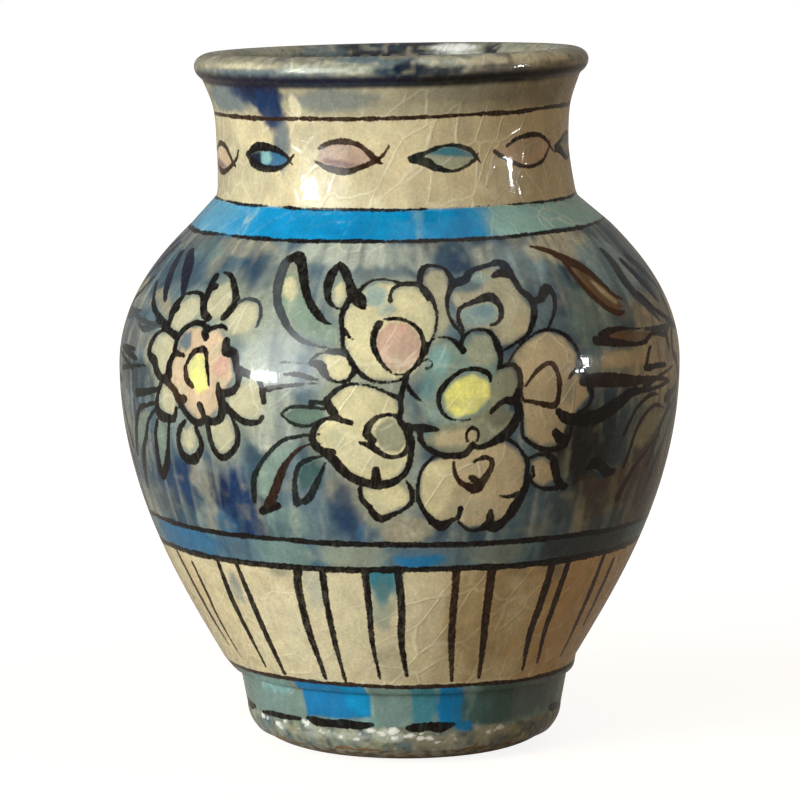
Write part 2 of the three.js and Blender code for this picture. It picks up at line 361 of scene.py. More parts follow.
# Patches of wash on the flower field: angle, height, half width in degrees, half height in mm,
# colour and strength
FIELD_WASHES = [
    (-66, 149, 14, 3.4, WARM_SLATE, 0.8),
    (-66, 140, 12, 7, SLATE, 0.8),
    (-44, 149, 12, 3, STONE, 0.8),
    (-55, 147, 7, 4, GREY_TEAL, 0.6),
    (-54, 141, 7, 5, SLATE, 0.6),
    (-37, 141, 8, 8, SLATE, 1.0),
    (-38, 142, 4, 6, COBALT, 0.4),
    # The next two pale patches are painted reflections of window light on the belly's left
    (-27, 119, 7, 22, PALE_GREY, 0.6),
    (-25, 103, 5, 9, PALE_GREY, 0.7),
    (-11, 148.5, 19, 4, PALE_GREY, 0.9),
    (-20, 141, 5, 6, BLUE_GREY, 0.8),
    (-5, 141, 5, 4, BLUE_GREY, 0.8),
    (4, 148, 4, 4, PALE_GREY, 0.8),
    (13, 147.5, 5.5, 4.5, SLATE, 1.0),
    (14, 146, 3, 3, COBALT, 0.5),
    (24, 148, 7, 3, PALE_GREY, 0.6),
    (31, 145, 8, 6, MIST, 0.7),
    (38, 134, 4, 5, SLATE, 0.6),
    # Pale cream and mist at the top right are partly painted sheen, where the shoulder catches
    # light from above
    (47, 149, 15, 4.6, PALE_CREAM, 0.75),
    (58, 143, 12, 9, MIST, 0.95),
    (44, 130, 8, 9, GREY_TEAL, 0.7),
    (52, 117, 12, 4, SAGE, 0.7),
    (-70, 122, 9, 5, WARM_SLATE, 0.8),
    (-66, 110, 10, 6, DARK_SLATE, 0.8),
    (-70, 92, 10, 12, DARK_SLATE, 0.6),
    (-56, 80, 12, 10, SLATE, 1.0),
    (-55, 82, 7, 8, COBALT, 0.45),
    (-63, 76, 8, 5, WARM_SLATE, 0.5),
    (-50, 82, 3, 9, COBALT, 0.7),
    (-44, 84, 3.5, 6, STONE, 0.7),
    (-37, 79, 5, 12, COBALT, 1.0),
    (-40, 84, 2.4, 7, NAVY, 0.5),
    (-33, 72, 4, 5, COBALT, 0.8),
    (-41, 72, 4, 4, BLUE, 0.7),
    (-24, 74, 6, 6, GREY_TEAL, 0.95),
    (-17, 76, 3, 8, BLUE_GREY, 0.8),
    (-11, 78, 4, 11, COBALT, 0.7),
    (-7, 72, 3, 4, BLUE, 0.6),
    (2, 73, 6, 5, STONE, 1.0),
    (28, 76, 8, 7, BLUE_GREY, 0.8),
    # Dusk and umber on the right are dark wash deepened in part into painted shade of the unlit
    # side
    (42, 92, 9, 13, DUSK, 1.0),
    (48, 79, 10, 8, UMBER, 0.8),
    (37, 78, 5, 6, DARK_SLATE, 0.6),
    (64, 84, 13, 16, UMBER, 0.8),
    (68, 116, 12, 16, TAN, 0.75),
    # Dark olive at the right edge: partly painted warm shade
    (88, 104, 14, 32, DARK_OLIVE, 0.6),
    (-84, 112, 9, 30, WARM_SLATE, 0.4),
]
# The same on the narrow band, the neck and the lip
BAND_WASHES = [
    (-60, 66, 16, 7, BLUE, 0.9),
    (-40, 66, 6, 7, COBALT, 0.3),
    (-27, 66, 9, 7, GREY_TEAL, 0.9),
    (-12, 66, 9, 7, SAGE, 0.6),
    (5.5, 64.4, 6, 2.6, DEEP_TURQUOISE, 0.85),
    (5, 67, 8, 1.8, BLUE_GREY, 0.7),
    (22, 66, 9, 6, OLIVE, 0.5),
    (46, 66, 20, 7, DARK_SLATE, 0.85),
    (78, 66, 12, 6, BLUE, 0.6),
    (128, 66, 20, 6, BLUE, 0.9),
    (172, 66, 16, 6, GREY_TEAL, 0.8),
    (-150, 66, 20, 6, BLUE, 0.8),
    (-104, 66, 14, 6, COBALT, 0.5),
]
NECK_WASHES = [
    (-66, 172, 16, 15, GREY_CREAM, 0.35),
    (-64, 190, 18, 4.4, BLUE_GREY, 0.8),
    (-18, 191, 18, 3.4, BLUE_GREY, 0.6),
    (-45, 192, 11, 4.2, COBALT, 0.95),
    (-43, 193, 8, 3, NAVY, 0.7),
    (-41, 188, 5.4, 6, COBALT, 0.95),
    (-38, 182, 3.6, 9, COBALT, 0.6),
    (-37, 176, 3, 8, BLUE_GREY, 0.6),
    (-31, 188.6, 2.2, 4.2, PALE_CREAM, 0.95),
    (-24, 181, 7, 4, STONE, 0.35),
    (24, 192, 24, 3, GREY_CREAM, 0.8),
    (58, 191, 20, 4, GREY_CREAM, 0.7),
    (118, 189, 5, 8, COBALT, 0.9),
    (150, 190, 20, 4, BLUE_GREY, 0.6),
    (-130, 190, 26, 4, GREY_CREAM, 0.6),
    (-158, 187, 3.5, 7, COBALT, 0.8),
]
# Darker washes low on the lip, near 198 mm, are partly painted shade of its underside
LIP_WASHES = [
    (-52, 200, 26, 2.2, STONE, 0.8),
    # Partly painted highlight: the pale cream at the left of the lip
    (-48, 199.6, 15, 1, PALE_CREAM, 0.6),
    (-58, 201.6, 26, 0.9, GREY_CREAM, 0.8),
    (-44, 197.8, 30, 1.5, BLUE_GREY, 0.85),
    (-27, 201.6, 12, 0.9, WARM_SLATE, 0.8),
    (-26, 199.2, 8, 1.3, PALE_GREY, 0.8),
    (-9, 201.4, 7, 1.1, BLUE_GREY, 0.9),
    (-10, 198.9, 7, 1.2, PALE_GREY, 0.9),
    (1, 200.4, 7, 1.6, BLUE_GREY, 0.9),
    (2, 198.2, 9, 1.9, SLATE, 1.0),
    (5, 199.2, 7, 2, NAVY, 0.85),
    (14, 200.7, 7, 1.1, PALE_GREY, 0.9),
    (15, 198.2, 8, 1.6, DARK_SLATE, 0.95),
    (29, 200.4, 9, 1.4, PALE_CREAM, 0.7),
    (31, 198, 12, 1.6, WARM_SLATE, 0.8),
    (50, 200.4, 14, 1.8, PALE_CREAM, 0.8),
    (54, 197.9, 16, 1.5, GREY_CREAM, 0.7),
    (96, 199, 12, 4, SLATE, 0.7),
    (128, 200, 10, 3, PALE_CREAM, 0.7),
    (160, 199, 16, 4, NAVY, 0.8),
    (-140, 199, 14, 4, SLATE, 0.7),
    (-112, 200, 12, 3, PALE_CREAM, 0.7),
    (-84, 199, 12, 4, WARM_SLATE, 0.6),
]
# The lip's inner side, which the liner glaze covers
MOUTH_WASHES = [
    (180, 199, 22, 6, NAVY, 0.9),
    (-176, 201, 8, 1.6, SLATE, 0.7),
    # Painted highlight: a white streak of reflected light on the far inside of the lip
    (155, 200.4, 10, 1.5, WHITE, 1.0),
    (141, 199.4, 5, 3, NAVY, 0.9),
    (120, 200, 14, 4, STONE, 0.8),
    (-152, 199, 10, 5, BLUE_GREY, 0.7),
    (-124, 200, 16, 4, PALE_GREY, 0.8),
    (-98, 200, 14, 4, PALE_CREAM, 0.6),
    (-40, 199, 20, 4, GREY_CREAM, 0.6),
    (-4, 199, 14, 5, NAVY, 0.8),
    (40, 199, 20, 4, SLATE, 0.7),
]
# Soft tints inside the bouquet's petals
PETAL_WASHES = [
    (-5.6, 138, 3.6, 3.6, COOL_PETAL, 0.9),
    (-3, 134.4, 2.4, 2, COOL_PETAL, 0.5),
    (3.6, 136, 2.2, 3, PETAL, 0.5),
    (14.6, 141.6, 4.4, 2.6, BLUE_GREY, 0.95),
    (18.5, 142.6, 3, 1.6, COOL_PETAL, 0.7),
    (14.6, 133, 2, 1.8, COOL_PETAL, 0.7),
    (18, 133.6, 2, 1.6, BLUE, 0.35),
    (25.6, 130, 2.4, 3.4, TAN, 0.5),
    (8, 121.4, 2, 4.4, PALE_TURQUOISE, 0.6),
    (5.4, 113, 2, 5, BRIGHT_TEAL, 0.4),
    (7, 106.4, 2, 3, COOL_PETAL, 0.7),
    (16.4, 123.4, 2.4, 3, SAGE, 0.7),
    (21.4, 112.6, 2.4, 4, OLIVE, 0.9),
    (20, 105, 3, 3, DARK_OLIVE, 0.6),
    (12, 99.4, 5.4, 3, TAN, 0.8),
    (-8, 95, 4, 4, PALE_CREAM, 0.5),
    (-12.6, 99, 2.4, 4, SAGE, 0.4),
    (29, 113, 2.4, 3.4, WARM_CREAM, 0.5),
    (35.4, 111, 2.4, 5, GREY_CREAM, 0.6),
    (14.6, 79, 4, 3, SAGE, 0.4),
    (-26.4, 140, 1.2, 3, PETAL, 0.6),
]
# The skirt, the foot and the foot's wiped lower part
SKIRT_WASHES = [
    (-16, 43, 30, 24, PALE_CREAM, 0.8),
    (-4, 60, 4, 9, BRIGHT_TEAL, 1.0),
    (-4, 50, 3, 8, GREY_TEAL, 0.55),
    (-2, 32, 4, 6, GREY_CREAM, 0.4),
    (-21, 56, 3.2, 9, PALE_GREY, 0.6),
    (-44.4, 53, 2.8, 6, BLUE_GREY, 0.6),
    (-29, 60, 4, 3, GREY_CREAM, 0.7),
    (32, 60, 7, 3, GREY_CREAM, 0.7),
    (40, 56, 3, 8, DARK_OLIVE, 0.6),
    (40, 36, 3, 6, GREY_CREAM, 0.5),
    (-62, 52, 4, 9, WARM_CREAM, 0.6),
    # Painted shade: ochre and sand darken and warm the skirt's right side, away from the light
    (22, 44, 11, 20, SHADE_OCHRE, 0.8),
    (54, 44, 24, 26, SHADE_SAND, 0.8),
    (104, 58, 3.4, 9, BRIGHT_TEAL, 0.9),
    (167, 56, 3.2, 9, PALE_GREY, 0.7),
    (232, 58, 3.4, 9, BRIGHT_TEAL, 0.9),
]
FOOT_WASHES = [
    (-58, 19, 20, 8, GREY_TEAL, 0.8),
    (-50, 21, 10, 3, PALE_TURQUOISE, 0.6),
    (-4, 19, 8, 8, GREY_TEAL, 0.95),
    (7.5, 19, 5, 8, BRIGHT_TEAL, 0.95),
    (16, 19, 5, 8, DEEP_TURQUOISE, 1.0),
    (34, 18, 12, 9, DEEP_GREEN, 0.9),
    (50, 18, 10, 9, BLUE_GREY, 0.8),
    (62, 19, 12, 8, BLUE_GREY, 0.7),
    (100, 19, 14, 8, DEEP_TURQUOISE, 0.9),
    (165, 19, 12, 8, GREY_TEAL, 0.8),
    (-124, 19, 14, 8, DEEP_TURQUOISE, 0.9),
    (-92, 19, 12, 8, GREY_TEAL, 0.7),
]
WIPED_WASHES = [
    (-20, 8.6, 8, 1.4, PALE_GREY, 0.7),
    # Painted glint: this pale patch stands for light reflected at the front of the wiped foot
    (-6, 9, 7, 2, PALE_GREY, 0.8),
    (12, 7.4, 10, 2, GREY_CREAM, 0.8),
    (36, 9, 10, 2, STONE, 0.7),
]
# Groups of pale chips and painted glints on the wiped foot: angle, height, spreads of both and how
# many
CHIP_AND_GLINT_GROUPS = [
    # The first two groups, at the front middle, are partly painted glints of reflected light
    (-7, 9.4, 5, 1.8, 12),
    (2, 9.4, 4, 1, 5),
    (-38, 11.2, 2, 1, 4),
    (-56, 9.4, 8, 1.6, 6),
    (-24, 8.4, 8, 1.4, 6),
    (33, 9.8, 5, 1, 5),
    (14, 7.8, 6, 1, 4),
    (120, 9, 40, 2, 16),
    (220, 9, 40, 2, 16),
]


def laid(colour, angle, height, washes, seed, turns=(0,)):
    """Washes blended in order, each fading with the distance from its middle, ragged by noise."""
    ragged = brushed(angle, height, seed) - 0.5
    ragged = ragged + 0.4 * (clouds(angle, height, 190, 12, seed + 5) - 0.5)
    ragged = ragged + 0.25 * (clouds(angle, height, 300, 1.6, seed + 6) - 0.5)
    for turn in turns:
        for middle, level, wide, high, tint, strength in washes:
            across = np.degrees(wrapped(angle - np.radians(middle + turn))) / wide
            up = (height - level) / high
            reach = np.hypot(across, up) + WASH_RAGGED * ragged
            colour = mixed(colour, tint, strength * (1 - eased(reach, WASH_CORE, WASH_EDGE)))
    return colour


def mottled(angle, height, washes, seed):
    """Glaze of the lip: grey and cream clouds, then washes, then dark and pale specks."""
    cloud = brushed(angle, height, 11)
    fine = clouds(angle, height, 160, 3, 17)
    colour = mixed(plain(angle, GREY_CREAM), PALE_GREY, eased(cloud, 0.35, 0.75))
    colour = mixed(colour, SLATE, 0.35 * eased(fine, 0.5, 0.9))
    colour = laid(colour, angle, height, washes, seed)
    dark_specks = clouds(angle, height, 250, 1.0, 53)
    pale_specks = clouds(angle, height, 170, 1.2, 54)
    colour = mixed(colour, DARK_SLATE, 0.36 * eased(dark_specks, 0.5, 0.95))
    return mixed(colour, PALE_CREAM, 0.36 * eased(pale_specks, 0.5, 0.95))


def turquoise_band(angle, cloud, fine, pale_runs):
    """The shoulder's band: two turquoises in clouds, worn in runs, paler far left, painted sheen at
    right.
    """
    colour = mixed(plain(angle, TURQUOISE), DEEP_TURQUOISE, 0.8 * eased(cloud, 0.5, 0.8))
    degrees = np.degrees(wrapped(angle))
    # Painted sheen: the band pales from about 24 to 80 degrees, where the upturned shoulder catches
    # light from above
    right = eased(degrees + 14 * (cloud - 0.5), 24, 34) * (1 - eased(degrees, 80, 110))
    far_left = (1 - eased(degrees + 20 * (cloud - 0.5), -62, -46)) * eased(degrees, -100, -80)
    worn = 0.4 * eased(pale_runs * 0.6 + fine * 0.4, 0.68, 0.85)
    worn = np.maximum(worn, np.maximum(0.9 * right, 0.28 * far_left))
    return mixed(colour, WORN_AND_SHEEN_TURQUOISE, worn)


def flower_field(angle, height, fine, runs, pale_runs, streaks):
    """Ground of the flowers: blue greys in runs, washes, then fine clouds, streaks and grain."""
    colour = mixed(plain(angle, BLUE_GREY), SLATE, 0.85 * eased(runs, 0.4, 0.8))
    colour = mixed(colour, STONE, 0.7 * eased(pale_runs, 0.55, 0.9))
    colour = laid(colour, angle, height, FIELD_WASHES, 37, turns=(BACK_TURN, 0))
    colour = mixed(colour, STONE, 0.3 * eased(fine, 0.62, 0.95))
    colour = mixed(colour, SLATE, 0.5 * eased(clouds(angle, height, 120, 9, 33), 0.6, 0.95))
    colour = mixed(colour, PALE_GREY, 0.34 * eased(streaks, 0.58, 0.95))
    colour = mixed(colour, SLATE, 0.4 * eased(1 - streaks, 0.58, 0.95))
    return colour * (0.86 + 0.28 * clouds(angle, height, 360, 1.5, 35))[..., None]


def wiped_foot(angle, height, cloud, fine):
    """The foot below its glaze: olive and blue grey clouds, dark and pale grit, then washes."""
    colour = mixed(plain(angle, OLIVE), BLUE_GREY, 0.8 * eased(fine, 0.3, 0.8))
    colour = mixed(colour, DARK_OLIVE, 0.5 * eased(cloud, 0.5, 0.7))
    colour = mixed(colour, PALE_GREY, 0.5 * eased(clouds(angle, height, 70, 3, 57), 0.5, 0.8))
    grit = clouds(angle, height, 210, 1.3, 58)
    colour = mixed(colour, DUSK, 0.45 * eased(grit, 0.62, 0.9))
    colour = mixed(colour, PALE_GREY, 0.5 * eased(1 - grit, 0.66, 0.92))
    return laid(colour, angle, height, WIPED_WASHES, 49)


def ground(angle, height):
    """Wash colours of the whole outside, zone by zone in height, under the lines and flowers."""
    cloud = brushed(angle, height, 11)
    fine = clouds(angle, height, 160, 3, 17)
    runs = clouds(angle, height, 84, 20, 19)
    pale_runs = clouds(angle, height, 58, 12, 21)
    streaks = clouds(angle, height, 220, 15, 34)
    tilt = np.sin(angle)

    cream = mixed(plain(angle, CREAM), PALE_CREAM, 0.7 * cloud)
    cream = mixed(cream, WARM_CREAM, 0.45 * fine)
    cream = mixed(cream, GREY_CREAM, 0.25 * eased(pale_runs, 0.55, 0.95))
    above = eased(height - FISH_LINE[1] * tilt, FISH_LINE[0], 187)
    neck = mixed(cream, GREY_CREAM, 0.6 * above)
    neck = laid(neck, angle, height, NECK_WASHES, 23)
    lip = mottled(angle, height, LIP_WASHES, 29)
    # Painted shade: the lip's lower half, which faces down, is darkened towards navy
    under = 1 - eased(height + 1.4 * (cloud - 0.5), 196.4, 198.2)
    lip = mixed(lip, NAVY, 0.8 * under)
    turquoise = turquoise_band(angle, cloud, fine, pale_runs)
    field = flower_field(angle, height, fine, runs, pale_runs, streaks)
    band = mixed(mixed(plain(angle, BLUE_GREY), BLUE, 0.6 * runs), GREY_TEAL, 0.6 * pale_runs)
    band = mixed(band, SLATE, 0.4 * eased(1 - streaks, 0.55, 0.9))
    band = laid(band, angle, height, BAND_WASHES, 41)
    skirt = laid(cream, angle, height, SKIRT_WASHES, 43)
    foot = mixed(plain(angle, GREY_TEAL), OLIVE, 0.5 * cloud)
    foot = mixed(foot, PALE_TURQUOISE, 0.6 * eased(pale_runs, 0.45, 0.8))
    foot = laid(foot, angle, height, FOOT_WASHES, 47)

    colour = wiped_foot(angle, height, cloud, fine)
    ragged = 1.6 * (cloud - 0.5)
    for zone, start in [
        (foot, WIPED_EDGE + ragged),
        (skirt, ring_level(FOOT_LINE, angle)),
        (band, ring_level(BAND_LINE, angle)),
        (field, ring_level(FIELD_LINE, angle)),
        (turquoise, ring_level(SHOULDER_LINE, angle)),
        (neck, ring_level(NECK_LINE, angle)),
        (lip, LIP_EDGE + 0.3 * ragged),
    ]:
        colour = mixed(colour, zone, eased(height - start, -0.3, 0.3))
    # The groove: navy paint with painted shade of the crease under the lip's roll, turning black
    # towards the shaded right
    gap = np.abs(height - GROOVE_SHADE_LEVEL - GROOVE_SHADE_TILT * tilt - 0.8 * (cloud - 0.5))
    dark = mixed(plain(angle, NAVY), INK, eased(np.degrees(wrapped(angle)), -4, 14))
    return mixed(colour, dark, 0.94 * (1 - eased(gap, 0.7, GROOVE_SHADE_WIDTH / 2 + 0.5)))


# Painting: flowers, leaves, fish and stripes

# Shapes that are filled with colour before they get their lines: colour, then angles and heights
FOOT_FILLS = [
    (DEEP_TURQUOISE, [(-37, 25), (-25, 25.2), (-12.6, 25), (-11.3, 22), (-11.4, 14.6), (-20, 13.4),
        (-37.4, 13)]),
    (TURQUOISE, [(-21, 25), (-12.6, 24.8), (-11.4, 22), (-11.5, 15), (-17, 14.4), (-21, 18)]),
    (WORN_AND_SHEEN_TURQUOISE, [(-12, 25), (-11.1, 24.6), (-10.5, 20), (-10.6, 14.8), (-11.5, 14.8),
        (-11.8, 20)]),
    (DEEP_TURQUOISE, [(17, 13), (24, 13.4), (26, 10.4), (22, 9.6), (17, 10.4)]),
    (TURQUOISE, [(112, 25), (146, 25), (148, 13.6), (114, 13)]),
    (TURQUOISE, [(186, 25), (214, 25), (216, 13.6), (188, 13)]),
]
BOUQUET_FILLS = [
    (LEAF_GREEN, [(-28, 143), (-25, 143), (-21.5, 137), (-17, 132.4), (-13, 130), (-12.2, 125),
        (-17, 125.6), (-22, 128.8), (-26, 134.5)]),
    (PETAL, [(-27.2, 141.5), (-25.4, 142.6), (-23, 138.4), (-24, 136.2), (-26, 137.6)]),
    (PETAL, [(-15, 140), (-13.6, 142), (-12, 140), (-12, 136.6), (-13.4, 135), (-14.8, 136.6)]),
    (PETAL, [(-11.6, 135), (-8, 137), (-4, 134), (0, 134), (2, 139.6), (6, 138), (7.4, 133),
        (6, 126), (3, 118), (-1, 116), (-6, 116.4), (-9.4, 121), (-11, 126), (-11.8, 131)]),
    (PETAL, [(-8.6, 139), (-5, 141.6), (-1, 141), (-2, 137), (-4.4, 133.4), (-7, 134.6)]),
    (PETAL, [(-1, 139.6), (2.4, 140.4), (5.6, 138.6), (7, 134), (5.4, 128), (4, 131), (0.6, 133),
        (-1.6, 136)]),
    (ROSE, [(-4.6, 128), (-2, 131.4), (1.6, 131), (4.2, 127), (4.2, 122.4), (1, 118), (-2, 118.6),
        (-4.6, 123)]),
    (PETAL, [(-15.2, 122), (-12, 123.2), (-9.6, 121), (-9.4, 117.4), (-12, 115.4), (-14.6, 117.4)]),
    (MOSS, [(-23.2, 105.4), (-21, 107), (-17.6, 107.4), (-15, 106.6), (-15, 104.6), (-18.4, 103),
        (-21.4, 103.4)]),
    (TEAL, [(-30.6, 82), (-30, 89), (-26.4, 94.6), (-20, 98.6), (-21.6, 94), (-25, 88), (-28, 80)]),
    (DEEP_GREEN, [(-21, 88.6), (-19.6, 91.6), (-16, 93), (-15.6, 90), (-18, 85.6), (-20.4, 83.6)]),
    (PETAL, [(-13.4, 110), (-10, 113.8), (-6, 114), (-1, 111), (0, 106), (2, 100), (2, 93),
        (-1.6, 87.6), (-6, 87), (-11, 91), (-15.6, 96.4), (-16.8, 99.6), (-14.6, 104),
        (-12.4, 106)]),
    (OLIVE, [(-4.6, 103), (-2, 105.6), (0.4, 104), (1.6, 99), (0, 95.6), (-3, 96), (-4.6, 99)]),
    (PETAL, [(-7.6, 84.6), (-5, 85.6), (0, 86.4), (2, 84), (1.6, 81), (-2, 78.6), (-4, 77),
        (-6.4, 80.6)]),
    (TEAL, [(6, 125.6), (9, 126.6), (12, 124.6), (14.6, 128), (18.6, 127), (19.8, 121), (19, 117),
        (18, 108), (13, 103.6), (8, 96), (4.4, 100), (7, 103), (5, 106), (3, 110), (4.6, 116)]),
    (SAGE, [(13, 124), (15, 127.6), (18.4, 127), (19.6, 122), (18, 119), (14, 120)]),
    (OLIVE, [(18.4, 115), (19.6, 118), (22.6, 118.4), (23.6, 114), (22.6, 110.4), (19, 108.4),
        (23, 106), (22, 101), (18, 98.4), (13, 95.4), (8, 95.6), (5, 98.6), (8, 103), (13, 104),
        (17, 107)]),
    (YELLOW, [(8.6, 112), (11, 115.6), (14.4, 117), (17.4, 114.6), (17.8, 110.6), (15, 106.6),
        (11, 105.6), (9, 108)]),
    (SHADED_PETAL, [(5, 143), (7, 145), (10, 144.4), (11.4, 141), (10.2, 137), (10.4, 131),
        (8, 128.4), (7.6, 134), (6, 139.6)]),
    (SHADED_PETAL, [(11, 137), (12.4, 141), (16, 143), (20, 144.6), (24.6, 143), (27, 138),
        (28.8, 134), (27, 128.6), (23, 125), (20.6, 124.6), (19, 129), (13, 129.6)]),
    (GREY_PETAL, [(21, 131), (23, 138), (26.4, 138), (28.6, 133.6), (26, 128), (22, 125)]),
    (COOL_PETAL, [(13, 130), (12.8, 134), (16, 135.6), (20, 136), (21, 133), (19, 130.4),
        (15.6, 130)]),
    (BLUE_GREY, [(29.6, 134.6), (32, 135), (34.6, 137), (34, 133), (32, 129.6), (30, 130)]),
    (TAN, [(23, 121.6), (26, 125), (31, 127.4), (35, 126), (37.6, 121), (37, 117), (39.4, 113),
        (40.6, 109), (37, 105), (35, 101), (34, 96.4), (29, 95.6), (25.6, 99), (24.8, 106),
        (24.2, 114)]),
    (TAN, [(5, 92), (8, 94), (13, 95.4), (20, 98), (24, 95.6), (26, 91), (26, 84), (23.6, 77),
        (20, 74.6), (15, 73.4), (11, 76), (8, 75), (5, 79.6), (4.2, 86)]),
    (PETAL, [(5, 92), (8, 93.6), (10.6, 92), (12, 87), (10, 80), (7, 76), (5, 79.6), (4.2, 86)]),
    (TAN, [(27.2, 92), (30, 93), (32.6, 90), (33.6, 86.4), (30.6, 84.4), (28, 86)]),
]
